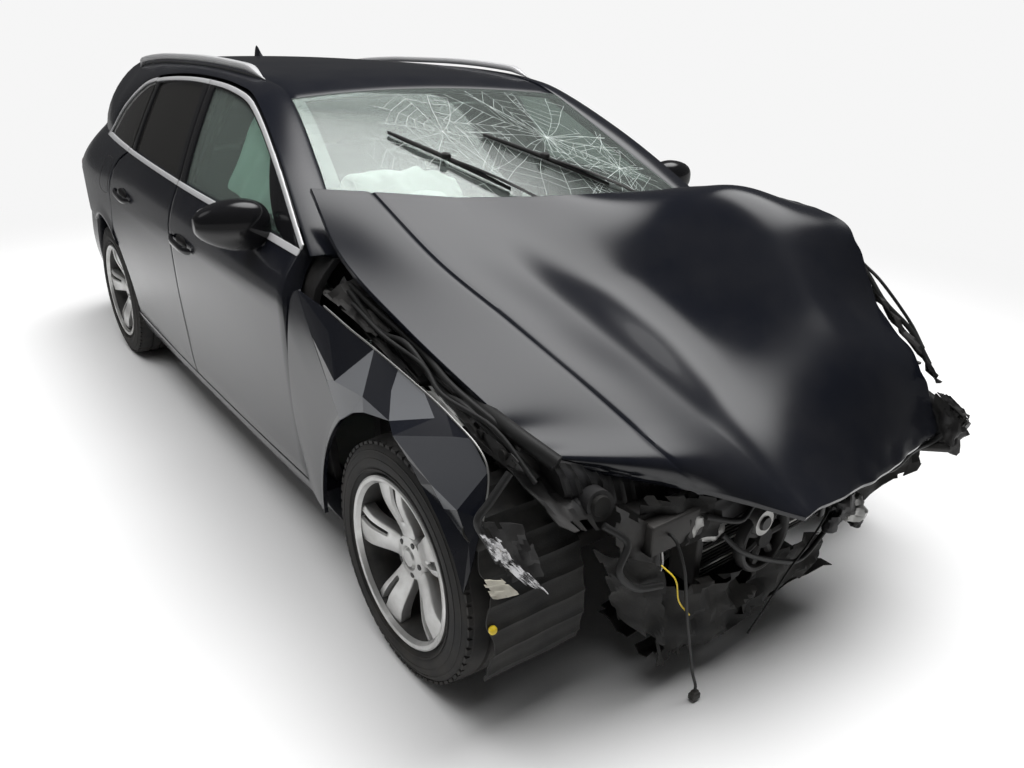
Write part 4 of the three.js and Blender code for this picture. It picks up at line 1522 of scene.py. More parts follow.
@dataclass
class Tail(Assembly):
    """Tailgate with its pane, and the rear bumper."""

    rows: tuple[tuple[float, float, float, float], ...] = (
        (662, 728, 3706, 116), (860, 722, 3708, 112), (1072, 622, 3652, 100), (1362, 466, 3508, 62))
    columns: Bands = Bands((4, 26, 4))
    bands: Bands = Bands((16, 12, 3))
    plan: tuple[tuple[float, float, float], ...] = (
        (0, 0, 3847), (0.35, 420, 3832), (0.62, 715, 3762), (0.78, 806, 3660), (1, 868, 3222))
    tucks: tuple[tuple[float, float], ...] = ((225, 80), (300, 24), (450, 0), (655, 12))

    def build(self) -> None:
        """Makes the tail."""
        self.gate()
        self.bumper()

    def gate(self) -> None:
        """Makes the tailgate, its pane, spoiler, plate and handle strip."""
        edge = [Curve(self.rows, column) for column in (1, 2, 3)]

        def point(s: float, t: float, depth: float) -> Triple:
            """Point of the tailgate's surface.

            Args:
                s: share along.
                t: share across.
                depth: distance inward.

            Returns:
                The point.
            """
            across = 2 * s - 1
            z = lerp(662, 1362, t)
            y = edge[1](z) + edge[2](z) * (1 - across ** 2) - depth
            return across * edge[0](z), y, z - depth * 0.2 * t

        def face(s: float, t: float, depth: float) -> Triple:
            """Point in the grid's bands.

            Args:
                s: share along.
                t: share across.
                depth: distance inward.

            Returns:
                The point.
            """
            column, along = self.columns.locate(s)
            band, part = self.bands.locate(t)
            at_s = lerp((0, 0.11, 0.89)[column], (0.11, 0.89, 1)[column], along)
            at_t = lerp((0, 0.6, 0.95)[band], (0.6, 0.95, 1)[band], part)
            sink = 0.0
            if depth < 10:
                sink = 14 * ease((0.17 - abs(at_s - 0.5)) / 0.02) * ease((0.11 - abs(at_t - 0.33)) / 0.02)
            return point(at_s, at_t, depth + sink)

        def pane(s: float, t: float) -> bool:
            """True within the pane."""
            return self.columns.locate(s)[0] == 1 and self.bands.locate(t)[0] == 1

        gate = Mesh(Skin.PAINT, Skin.GLOSS_BLACK, Skin.PLATE, Skin.BRIGHT, Skin.LAMP)
        gate.panel(self.columns.cells, self.bands.cells, at_depth(face, 0.0), at_depth(face, 42.0), pane,
                   bevel=5.0)
        gate.panel(20, 6, lambda s, t: point(lerp(0.3, 0.7, s), lerp(0.26, 0.37, t), 7),
                   lambda s, t: point(lerp(0.3, 0.7, s), lerp(0.26, 0.37, t), 16), shade=lambda s, t: 2,
                   bevel=2.0)
        gate.panel(24, 2, lambda s, t: point(lerp(0.28, 0.72, s), lerp(0.45, 0.48, t), -8),
                   lambda s, t: point(lerp(0.28, 0.72, s), lerp(0.45, 0.48, t), 6), shade=lambda s, t: 3,
                   bevel=3.0)
        for low in (0.015, 0.765):
            gate.panel(14, 8, lambda s, t: point(low + 0.22 * s, lerp(0.14, 0.34, t),
                                                 -6 * ease(min(s, 1 - s, t, 1 - t) / 0.15)),
                       lambda s, t: point(low + 0.22 * s, lerp(0.14, 0.34, t), 20), shade=lambda s, t: 4)

        def spoiler(s: float, a: float) -> Triple:
            """Lip over the pane."""
            x, y, z = point(lerp(0.03, 0.97, s), 0.985, 0)
            return x, y + 6 + 42 * math.cos(a), z - 14 + 15 * math.sin(a) - 10 * math.cos(a)

        gate.loft(36, 14, spoiler)
        self.factory.place("tailgate_skin", gate, "tailgate", "tailgate")
        glass = Mesh(Skin.PRIVACY)
        glass.panel(26, 12, lambda s, t: point(lerp(0.105, 0.895, s), lerp(0.595, 0.955, t), 5),
                    lambda s, t: point(lerp(0.105, 0.895, s), lerp(0.595, 0.955, t), 10))
        self.factory.place("tailgate_pane", glass, "tailgate", "glass_rear")

    def bumper(self) -> None:
        """Makes the rear bumper with its black valance and reflectors."""
        plan = [Curve(self.plan, column) for column in (1, 2)]
        tuck = Curve(self.tucks)

        def face(s: float, t: float, depth: float) -> Triple:
            """Point of the bumper.

            Args:
                s: share along.
                t: share across.
                depth: distance inward.

            Returns:
                The point.
            """
            across = 2 * s - 1
            part = abs(across)
            z = lerp(225, 655, t)
            inset = depth + tuck(z)
            x = plan[0](part) - inset * min(1, part * 1.25)
            return math.copysign(max(x, 0), across), plan[1](part) - inset * min(1, 4 * (1 - part)), z

        mesh = Mesh(Skin.PAINT, Skin.PLASTIC, Skin.LAMP)
        mesh.panel(96, 20, at_depth(face, 0.0), at_depth(face, 55.0),
                   shade=lambda s, t: 1 if t < 0.27 else 0, bevel=5.0)
        for low in (0.2, 0.72):
            mesh.panel(10, 3, lambda s, t: face(low + 0.08 * s, lerp(0.33, 0.4, t), -4.0),
                       lambda s, t: face(low + 0.08 * s, lerp(0.33, 0.4, t), 4.0), shade=lambda s, t: 2,
                       bevel=2.0)
        self.factory.place("bumper_skin", mesh, "shell", "rear_bumper")


@dataclass
class Nose(Assembly):
    """Folded bonnet and both front wings."""

    bonnet_thickness: float = 12.0
    wing_thickness: float = 8.0
    bonnet: tuple[tuple[Triple, ...], ...] = (
        ((-768, 655, 1156), (-600, 612, 1140), (-350, 540, 1114), (-80, 470, 1106), (250, 430, 1098),
         (610, 420, 1080)),
        ((-782, 445, 1004), (-560, 330, 996), (-326, 252, 963), (-41, 228, 951), (320, 250, 1125),
         (614, 200, 1100)),
        ((-752, 180, 884), (-492, 80, 880), (-277, 24, 857), (17, 104, 891), (345, 100, 1140),
         (614, -20, 1098)),
        ((-706, -98, 772), (-445, -130, 790), (-234, -184, 765), (34, -56, 824), (350, -80, 1062),
         (614, -188, 1050)),
        ((-668, -200, 716), (-402, -300, 706), (-198, -344, 689), (10, -240, 745), (330, -290, 892),
         (614, -330, 842)),
        ((-652, -285, 692), (-376, -420, 650), (-167, -468, 628), (-40, -430, 660), (300, -480, 732),
         (614, -480, 715)),
        ((-631, -300, 670), (-316, -470, 576), (-131, -644, 522), (-60, -640, 528), (250, -622, 505),
         (606, -592, 532)))
    wing_right: tuple[tuple[float, ...], ...] = (
        (-6, 376, 880, 558, 300), (20, 378, 912, 558, 560), (40, 384, 908, 556, 790),
        (54, 392, 884, 520, 912),
        (70, 400, 852, 250, 862), (88, 404, 830, 60, 818), (108, 374, 814, -130, 770),
        (128, 354, 806, -262, 706),
        (146, 352, 848, -312, 604), (160, 350, 893, -330, 500))
    wing_left: tuple[tuple[float, ...], ...] = (
        (-6, 376, 880, 558, 300), (20, 378, 912, 558, 560), (40, 384, 908, 556, 790),
        (54, 392, 868, 540, 930),
        (70, 396, 850, 300, 915), (88, 396, 830, 60, 880), (108, 396, 815, -150, 812),
        (128, 390, 800, -290, 720))
    ridge: int = 2
    crush_from: float = 54.0
    folds: tuple[Triple, ...] = (
        (54, 0, 0), (54, 0.3, 0), (54, 0.62, 0), (54, 1, 0), (66, 0, 0), (61, 0.3, 8), (66, 1, 0),
        (62, 0.75, -2),
        (76, 0, 0), (76, 0.24, 2), (77, 1, 0), (86, 0.5, -24), (90, 0, -12), (87, 1, 0), (97, 1, 0),
        (105, 0.8, -6), (99, 0.14, 16), (114, 0.87, 4), (108, 0, 0), (106, 1, 0), (118, 1, 0), (118, 0, 2),
        (122, 0.28, 14), (131, 1, 0), (130, 0.1, -10), (136, 0.55, 16), (132, 0, 0), (146, 0, 0),
        (146, 1, 0),
        (148, 0.5, -8), (160, 0, 0), (160, 1, 0))
    fold_lines: tuple[tuple[int, int], ...] = (
        (12, 11), (11, 14), (12, 15), (14, 15), (16, 17), (12, 16), (15, 17), (16, 22), (17, 23), (22, 25),
        (24, 25),
        (5, 10), (9, 10), (9, 12), (5, 7), (22, 24))
    # Facets in these lists get the grey paints: scuffed paint that also paints the facets' reflections.
    scuff_sheen_facets: tuple[tuple[int, ...], ...] = ((11, 12, 13, 14, 15), (5, 9, 10), (0, 1, 4, 5, 8, 9, 12),
                                            (22, 24, 25))
    rubbed: tuple[int, ...] = (16, 17, 20, 22, 23, 25)

    def build(self) -> None:
        """Makes the nose."""
        self.lid()
        self.wing(Side.RIGHT, self.wing_right)
        self.wing(Side.LEFT, self.wing_left)

    def lid(self) -> None:
        """Makes the folded bonnet."""
        ridge = self.ridge
        numbered = [list(enumerate(line)) for line in self.bonnet]
        halves = [[[Curve([(i, p[k]) for i, p in part]) for part in (line[:ridge + 1], line[ridge:])]
                   for line in numbered] for k in range(3)]
        columns = len(self.bonnet[0]) - 1
        stations = len(self.bonnet) - 1
        lines: dict[float, list[Curve]] = {}

        def surface(s: float, t: float) -> list[float]:
            """Surface through the table, smooth on both sides of the ridge.

            Args:
                s: share along.
                t: share across.

            Returns:
                The point.
            """
            key = round(s, 6)
            if key not in lines:
                at = key * columns
                half = 0 if at <= ridge else 1
                lines[key] = [Curve([(i, pair[half](at)) for i, pair in enumerate(axis)])
                              for axis in halves]
            return [curve(t * stations) for curve in lines[key]]

        def outer(s: float, t: float) -> Triple:
            """Shown face with its feature line, buckles and rough torn edge.

            Args:
                s: share along.
                t: share across.

            Returns:
                The point.
            """
            x, y, z = surface(s, t)
            line = -5 * max(0.0, 1 - abs(s - 0.2) / 0.009)
            free = ease(min(s, 1 - s, t, 1 - t) / 0.1)
            buckle = ease((s - 0.46) / 0.2)
            z += line + free * (5 * buckle * ruffle(x, y, z, 210) + 1.2 * ruffle(x, y, 0, 330))
            torn = ease((s - 0.93) / 0.07)
            x += torn * 16 * ruffle(y, z, 5, 55)
            y += ease((t - 0.95) / 0.05) * 7 * ruffle(x, z, 9, 60)
            return x, y, z

        def inner(s: float, t: float) -> Triple:
            """Back face."""
            x, y, z = outer(s, t)
            return x, y + 0.4 * self.bonnet_thickness, z - self.bonnet_thickness

        mesh = Mesh(Skin.PAINT)
        mesh.panel(140, 100, outer, inner, bevel=2.5)
        self.factory.place("bonnet_skin", mesh, "shell", "bonnet", sharp=0.3)

    def crush(self, mesh: Mesh, spot: Deep) -> None:
        """Adds the crushed front of the right wing as flat facets between its folds.

        Args:
            mesh: the wing's piece.
            spot: point of the wing at an angle, a share up and a depth.
        """
        flat = [Vector((angle / 80, t)) for angle, t, _ in self.folds]
        found = delaunay_2d_cdt(flat, self.fold_lines, [], 0, 1e-5)
        part = bmesh.new()
        verts = []
        for origin in found[3]:
            angle, t, push = self.folds[origin[0]]
            verts.append(part.verts.new(row(*spot(angle, t, -push))))
        for corners in found[2]:
            face = part.faces.new([verts[i] for i in corners])
            marks = {found[3][i][0] for i in corners}
            # Listed facets are painted lighter than the paint: scuffing, and painted reflections that give
            # each facet its tone.
            if marks <= set(self.rubbed):
                face.material_index = 3
            if any(marks <= set(facet) for facet in self.scuff_sheen_facets):
                face.material_index = 2
        bmesh.ops.recalc_face_normals(part, faces=part.faces)
        bmesh.ops.solidify(part, geom=part.faces[:], thickness=0.006)
        bmesh.ops.recalc_face_normals(part, faces=part.faces)
        mesh.take(part)

    def wing(self, side: Side, rows: Sequence[Sequence[float]]) -> None:
        """Makes a front wing, crushed on the right.

        Args:
            side: right or left.
            rows: angle about the wheel, arch radius, and the outer edge's x, y, z.
        """
        radius, edge_x, edge_y, edge_z = (Curve(rows, column) for column in (1, 2, 3, 4))
        first = rows[0][0]
        last = self.crush_from if side is Side.RIGHT else rows[-1][0]

        def spot(angle: float, t: float, depth: float) -> Triple:
            """Point of the wing at an angle, a share up and a depth.

            Args:
                angle: angle about the wheel.
                t: share across.
                depth: distance inward.

            Returns:
                The point.
            """
            turn = math.radians(angle)
            y = lerp(radius(angle) * math.cos(turn), edge_y(angle), t)
            z = lerp(HUB_HEIGHT + radius(angle) * math.sin(turn), edge_z(angle), t)
            arch = 911 - max(0.0, angle - 110) * 0.1
            lip = 5 * ease(1 - t / 0.06) if depth <= 0 else 0.0
            return side.value * (lerp(arch, edge_x(angle), t ** 1.6) + lip - depth), y, z

        mesh = Mesh(Skin.PAINT, Skin.BARE, Skin.SCUFF_AND_SHEEN, Skin.RUBBED)
        mesh.panel(90, 24, lambda s, t: spot(lerp(first, last, s), t, 0.0),
                   lambda s, t: spot(lerp(first, last, s), t, self.wing_thickness), bevel=2.0)
        if side is Side.RIGHT:
            self.crush(mesh, spot)

            def bare_edge_highlight(s: float, a: float) -> Triple:
                """Bare metal along the bent upper edge, which also paints the edge's highlight."""
                x, y, z = spot(lerp(62, 150, s), 1.0, 0.0)
                return x + 2.6 * math.cos(a), y, z + 2.6 * math.sin(a)

            mesh.loft(60, 6, bare_edge_highlight, skin=1)
        self.factory.place(f"wing_{side.hand}_skin", mesh, "shell", f"wing_{side.hand}", sharp=0.15)


@dataclass(frozen=True)
class Rag:
    """A torn, bent sheet between four corners."""

    skin: Skin
    corners: tuple[Triple, Triple, Triple, Triple]
    crumple: float = 18.0
    ragged: float = 0.16
    cells: int = 12
    seed: float = 0.0

    def add(self, mesh: Mesh, number: int) -> None:
        """Adds the sheet to a piece.

        Args:
            mesh: the piece.
            number: its material number there.
        """
        a, b, c, d = (Vector(p) for p in self.corners)
        normal = (b - a).cross(d - a).normalized()
        span = min((b - a).length, (d - a).length)

        def face(s: float, t: float, depth: float) -> Triple:
            """Point of the sheet, folded by noise.

            Args:
                s: share along.
                t: share across.
                depth: distance inward.

            Returns:
                The point.
            """
            pull = self.ragged * ruffle(s * 900, t * 900, self.seed * 130, 170)
            s, t = s + pull * abs(2 * t - 1) ** 3, t + pull * abs(2 * s - 1) ** 3
            flat = a.lerp(b, s).lerp(d.lerp(c, s), t)
            fold = abs(ruffle(flat.x + 900 * self.seed, flat.y, flat.z, span * 0.45)) * 2 - 0.5
            fine = ruffle(flat.z + 500 * self.seed, flat.x, flat.y, span * 0.16)
            at = flat + normal * (self.crumple * (fold + 0.35 * fine) - depth)
            return at.x, at.y, at.z

        def gone(s: float, t: float) -> bool:
            """True where the sheet is torn away at its edges."""
            rim = min(s, 1 - s, t, 1 - t)
            return rim < 0.08 and ruffle(s * 700, t * 700, 40 + self.seed * 77, 150) > 0.2

        mesh.panel(self.cells, self.cells, at_depth(face, 0.0), at_depth(face, 3.0), hole=gone,
                   shade=lambda s, t: number)


@dataclass
class Wreck(Assembly):
    """The stripped front end: structure, engine, liner, lamp, tray, hoses."""

    lamp: tuple[Rag, ...] = (
        Rag(Skin.CHROME, ((-900, -372, 622), (-862, -392, 604), (-815, -394, 518), (-868, -384, 552)),
            8, 0.12, 10, 4.0),
        Rag(Skin.CHROME, ((-868, -390, 556), (-812, -398, 524), (-726, -402, 412), (-800, -396, 470)),
            9, 0.12, 10, 5.0),
        Rag(Skin.CREAM, ((-908, -392, 520), (-860, -402, 508), (-813, -404, 451), (-881, -396, 463)),
            6, 0.12, 9, 6.0),
        Rag(Skin.PLASTIC, ((-880, -350, 630), (-780, -372, 600), (-742, -394, 470), (-830, -380, 470)),
            12, 0.15, 10, 7.0))
    tray: tuple[Rag, ...] = (
        Rag(Skin.TORN, ((-440, -470, 330), (-120, -500, 300), (-60, -520, 120), (-430, -480, 110)),
            30, 0.15, 20, 8.0),
        Rag(Skin.TORN, ((-430, -250, 150), (-430, -480, 110), (300, -480, 115), (320, -110, 150)),
            16, 0.1, 20, 9.0),
        Rag(Skin.TORN, ((-620, -430, 500), (-440, -480, 420), (-420, -490, 180), (-540, -450, 280)),
            26, 0.15, 18, 10.0),
        Rag(Skin.TORN, ((-100, -490, 300), (220, -500, 280), (230, -490, 130), (-120, -500, 115)),
            26, 0.15, 18, 11.0))
    torn: tuple[Rag, ...] = (
        Rag(Skin.STEEL, ((-806, 600, 918), (-776, 600, 912), (-776, 62, 776), (-806, 62, 784)),
            3, 0.03, 20, 1.0),
        Rag(Skin.STEEL, ((-770, -80, 745), (-660, -60, 742), (-600, -430, 560), (-700, -420, 570)),
            12, 0.08, 14, 2.0),
        Rag(Skin.PLASTIC, ((-835, 470, 905), (-745, 450, 960), (-720, 250, 850), (-800, 240, 840)),
            18, 0.15, 12, 3.0),
        Rag(Skin.BARE, ((-762, 90, 752), (-758, 33, 772), (-758, -111, 725), (-762, -90, 709)),
            3, 0.05, 8, 4.0),
        Rag(Skin.STEEL, ((-742, -69, 678), (-738, -127, 734), (-738, -293, 703), (-742, -273, 674)),
            3, 0.03, 10, 5.0),
        Rag(Skin.BARE, ((-690, -148, 720), (-676, -208, 716), (-676, -216, 676), (-690, -156, 680)),
            4, 0.06, 8, 6.0),
        Rag(Skin.STEEL, ((-579, -440, 609), (-394, -440, 470), (-413, -440, 335), (-562, -440, 447)),
            7, 0.05, 12, 7.0),
        Rag(Skin.TORN, ((-480, -420, 590), (-250, -470, 540), (-240, -480, 430), (-470, -450, 440)),
            22, 0.15, 12, 8.0),
        Rag(Skin.TORN, ((250, -520, 500), (600, -560, 520), (600, -560, 400), (260, -510, 320)),
            22, 0.15, 14, 9.0),
        Rag(Skin.STEEL, ((615, -120, 1010), (690, -140, 960), (690, -520, 640), (620, -540, 690)),
            22, 0.12, 16, 10.0),
        Rag(Skin.STEEL, ((600, -560, 640), (640, -572, 632), (672, -640, 575), (626, -648, 580)),
            7, 0.1, 10, 11.0),
        Rag(Skin.STEEL, ((626, -648, 580), (672, -640, 575), (660, -612, 470), (622, -612, 476)),
            7, 0.1, 10, 12.0),
        Rag(Skin.TORN, ((600, -560, 640), (626, -648, 580), (622, -612, 476), (606, -560, 540)),
            7, 0.1, 10, 13.0))
    frame_blocks: tuple[tuple[Triple, Triple, float], ...] = (
        ((405, -430, 430), (475, 399, 540), 0), ((455, -230, 500), (490, 399, 700), 40),
        ((470, -60, 680), (700, 120, 720), 60), ((331, -40, 440), (410, 60, 500), 0),
        ((485, 370, 560), (700, 399, 850), 0), ((400, 150, 200), (470, 230, 440), 0),
        ((380, -25, 185), (725, 55, 222), 0), ((690, 100, 738), (860, 140, 756), 28))
    frame_rails: tuple[tuple[float, tuple[Triple, ...]], ...] = (
        (24, ((-700, 388, 830), (-698, 120, 742), (-690, -120, 684), (-640, -300, 590))),
        (24, ((700, 388, 870), (690, 60, 790), (672, -340, 650), (660, -640, 540))),
        (16, ((470, -435, 470), (560, -545, 474), (630, -620, 478))))
    knots: tuple[tuple[float, float, float, float], ...] = (
        (150, -540, 440, 34), (205, -556, 400, 42), (262, -560, 368, 36), (300, -556, 318, 28),
        (180, -550, 352, 30))

    def build(self) -> None:
        """Makes the wreck's pieces."""
        for name, rags, nodes in (("lamp_shards", self.lamp, ("headlamp_right",)),
                                  ("tray_rags", self.tray, ("undertray",)),
                                  ("torn_structure", self.torn, ())):
            skins = tuple(dict.fromkeys(rag.skin for rag in rags))
            mesh = Mesh(*skins)
            for rag in rags:
                rag.add(mesh, skins.index(rag.skin))
            self.factory.place(name, mesh, "shell", *nodes, sharp=0.4)
        self.frame()
        self.arch()
        self.engine()
        self.cooler()
        self.fittings()
        self.hoses()

    def arch(self) -> None:
        """Makes the ribbed liner in front of the right wheel, with its clip."""
        def face(s: float, t: float, extra: float) -> Triple:
            """Point of the liner, ragged along its outer edge.

            Args:
                s: share along.
                t: share across.
                extra: distance from the inner face.

            Returns:
                The point.
            """
            turn = math.radians(lerp(124, 198, s))
            rib = 6 * ease(1 - abs(s * 8 % 1 - 0.5) / 0.2)
            r = 380 + extra + rib + 6 * ruffle(s * 700, t * 500, 2, 160)
            ragged = 30 * ruffle(s * 900, 3, 7, 130) * (1 - t) ** 6
            return lerp(-872, -600, t) + ragged, r * math.cos(turn), HUB_HEIGHT + r * math.sin(turn)

        mesh = Mesh(Skin.TORN, Skin.YELLOW)
        mesh.panel(64, 20, at_depth(face, 5.0), at_depth(face, 0.0))
        mesh.lump((-872, -388, 370), (10, 9, 10), 2.4, skin=1, cells=16)
        self.factory.place("liner_shell", mesh, "shell", "arch_liner_right")

    def engine(self) -> None:
        """Makes the engine's block, covers, casting and pulley."""
        mesh = Mesh(Skin.STEEL, Skin.BARE, Skin.PLASTIC)
        mesh.block((-330, -260, 310), (330, 340, 560), 22)
        mesh.block((-300, -90, 540), (300, 335, 700), 26, skin=2)
        mesh.block((-280, 90, 690), (280, 320, 760), 24, skin=2)
        for x in (-210, -70, 70, 210):
            mesh.bar((x, 200, 750), (x, 200, 772), 26, 22, skin=2)
        mesh.lump((-282, -418, 470), (78, 52, 56), 2.6, skin=1, wrinkle=18, size=42, cells=40)
        mesh.lump((-222, -416, 424), (56, 50, 46), 2.4, skin=1, wrinkle=14, size=36, cells=32)
        mesh.lump((120, -310, 380), (100, 60, 80), 3.0, wrinkle=12, size=70)
        mesh.bar((-105, -490, 432), (-105, -520, 432), 38, 36, sides=32, skin=1)
        mesh.bar((-105, -518, 432), (-105, -527, 432), 22, 18, sides=24)
        self.factory.place("engine_covers", mesh, "shell", "engine")

    def cooler(self) -> None:
        """Makes the crushed cooler with its fan and shroud."""
        mesh = Mesh(Skin.TORN, Skin.BARE, Skin.PLASTIC)
        for i in range(16):
            z = 262 + 11 * i
            mesh.block((-240, -432, z), (320, -362, z + 6), 0, skin=1 if i % 5 == 2 else 0)
        mesh.block((-262, -440, 250), (-236, -352, 438), 6, skin=2)
        mesh.block((316, -440, 250), (340, -352, 438), 6, skin=2)
        x, y, z = -72.0, -496.0, 368.0

        def shroud(s: float, a: float) -> Triple:
            """Ring around the fan.

            Args:
                s: share along.
                a: angle around.

            Returns:
                The point.
            """
            turn = 2 * math.pi * s
            r = 92 + 11 * math.cos(a)
            return x + r * math.cos(turn), y + 18 * math.sin(a), z + r * math.sin(turn)

        mesh.loft(56, 12, shroud, skin=2)
        for i in range(7):
            turn = 2 * math.pi * i / 7
            mesh.bar((x, y, z), (x + 90 * math.cos(turn), y + 8, z + 90 * math.sin(turn)), 9, 15, sides=8,
                     skin=2)
        mesh.bar((x, y + 20, z), (x, y - 14, z), 32, 28, sides=28)
        self.factory.place("cooler_and_fan", mesh, "shell", "radiator")

    def frame(self) -> None:
        """Makes the front structure with its legs, towers, arms, rails and crumpled stub."""
        mesh = Mesh(Skin.STEEL)
        for side in Side:
            for low, high, rise in self.frame_blocks:
                lift = rise if side is Side.LEFT else 0
                ends = sorted((side.value * low[0], side.value * high[0]))
                mesh.block((ends[0], *low[1:]), (ends[1], high[1], high[2] + lift), bevel=5.0)
            x = side.value * 548
            mesh.bar((x, 12, 215), (x, 12, 340), 24, sides=24)
            mesh.bar((x, 12, 330), (x, 12, 700), 44, sides=28)
        mesh.block((-475, -470, 440), (475, -400, 525), bevel=8.0)
        mesh.block((-430, -70, 178), (430, 250, 235), bevel=8.0)
        mesh.bar((-480, 190, 262), (480, 190, 262), 24, sides=24)
        mesh.lump((634, -606, 530), (26, 40, 72), 4.0, cells=40, wrinkle=12.0, size=40)
        self.factory.place("nose_frame", mesh, "shell", "front_frame", sharp=0.5)
        self.factory.lines("nose_rails", Skin.STEEL, "shell", self.frame_rails)

    def fittings(self) -> None:
        """Makes the ribbed tank with its cap, the strut tops, studs and knots of debris."""
        upper = (Vector((-671, -318, 694)), Vector((-330, -345, 574)))
        lower = (Vector((-648, -345, 594)), Vector((-315, -365, 462)))

        def tank(s: float, t: float, depth: float) -> Triple:
            """Point of the tank, with upright ribs.

            Args:
                s: share along.
                t: share across.
                depth: distance inward.

            Returns:
                The point.
            """
            at = lower[0].lerp(lower[1], s).lerp(upper[0].lerp(upper[1], s), t)
            rib = 8 * ease(1 - abs(s * 10 % 1 - 0.5) / 0.2)
            round_off = 18 * ease(min(t, 1 - t) / 0.3)
            return at.x, at.y + depth - (rib + round_off if depth == 0 else 0), at.z

        mesh = Mesh(Skin.PLASTIC, Skin.STEEL, Skin.BARE, Skin.TORN)
        mesh.panel(80, 14, at_depth(tank, 0.0), at_depth(tank, 60.0))
        mesh.bar((-580, -366, 584), (-586, -402, 592), 40, 37, sides=32)
        mesh.bar((-586, -400, 592), (-587, -410, 594), 27, 23, sides=28, skin=3)
        for y, z in ((-150, 712), (-240, 698)):
            mesh.bar((-738, y, z), (-748, y, z), 13, sides=18, skin=3)
        mesh.bar((-684, -182, 698), (-696, -182, 698), 12, sides=18, skin=3)
        for x, z in ((-546, 735), (546, 790)):
            mesh.bar((x, 12, 700), (x, 12, z), 60, 48, sides=28, skin=1)
        for i, (x, y, z, r) in enumerate(self.knots):
            mesh.lump((x, y, z), (r, r * 0.7, r), 2.2, skin=(3, 1, 2)[i % 3], wrinkle=r * 0.45, size=r,
                      cells=28)
        self.factory.place("bay_fittings", mesh, "shell", sharp=0.5)

    def hoses(self) -> None:
        """Lays hoses, loom, bare-metal edge lines that also paint the edges' highlights, and thin wires in
        the opened bay.
        """
        rows = (
            (20,
             ((-705, 190, 800), (-700, 63, 769), (-700, -95, 747), (-695, -240, 728), (-660, -330, 690))),
            (9,
             ((-770, 430, 930), (-760, 300, 890), (-735, 120, 830), (-745, -40, 790), (-700, -220, 720))),
            (8,
             ((-790, 400, 925), (-775, 260, 850), (-770, 130, 850), (-755, 0, 770), (-760, -120, 770),
              (-690, -300, 650))),
            (12,
             ((-740, 380, 900), (-710, 200, 860), (-690, 40, 800), (-660, -140, 735), (-600, -330, 640))),
            (6,
             ((-800, 360, 900), (-800, 200, 860), (-770, 60, 820), (-790, -60, 790), (-740, -200, 745),
              (-720, -330, 660))),
            (9,
             ((-809, -350, 724), (-860, -352, 673), (-893, -354, 637), (-870, -362, 580),
              (-848, -370, 530))),
            (9,
             ((-600, -430, 560), (-560, -470, 520), (-590, -480, 460), (-540, -490, 400),
              (-460, -500, 380))),
            (8,
             ((-300, -480, 500), (-200, -510, 470), (-120, -500, 490), (40, -520, 460), (200, -530, 440),
              (330, -540, 470))),
            (7,
             ((-250, -500, 440), (-190, -530, 380), (-30, -530, 290), (90, -530, 250), (220, -520, 300))),
            (8, ((630, -160, 990), (650, -240, 930), (640, -330, 850), (660, -420, 780), (650, -500, 700))),
            (5,
             ((640, -140, 1010), (675, -220, 940), (660, -300, 900), (680, -400, 800), (655, -470, 740))),
            (9, ((300, -520, 480), (420, -560, 440), (520, -570, 480), (600, -590, 500), (640, -620, 560))),
        )
        self.factory.lines("bay_hoses", Skin.WIRE, "shell", rows)
        # Bare metal lines along torn edges, which also paint the edges' highlights.
        bare_edge_highlight = (
            (5,
             ((622, -178, 1048), (622, -215, 942), (622, -312, 758), (622, -389, 709), (618, -488, 706))),
            (4, ((-356, -460, 475), (-426, -460, 468), (-419, -460, 399), (-436, -460, 348))),
        )
        self.factory.lines("bare_edge_highlights", Skin.BARE, "shell", bare_edge_highlight)
        thin = ((2, ((-470, -500, 440), (-462, -540, 420), (-440, -540, 350), (-393, -540, 288))),)
        self.factory.lines("yellow_wire", Skin.YELLOW, "shell", thin)


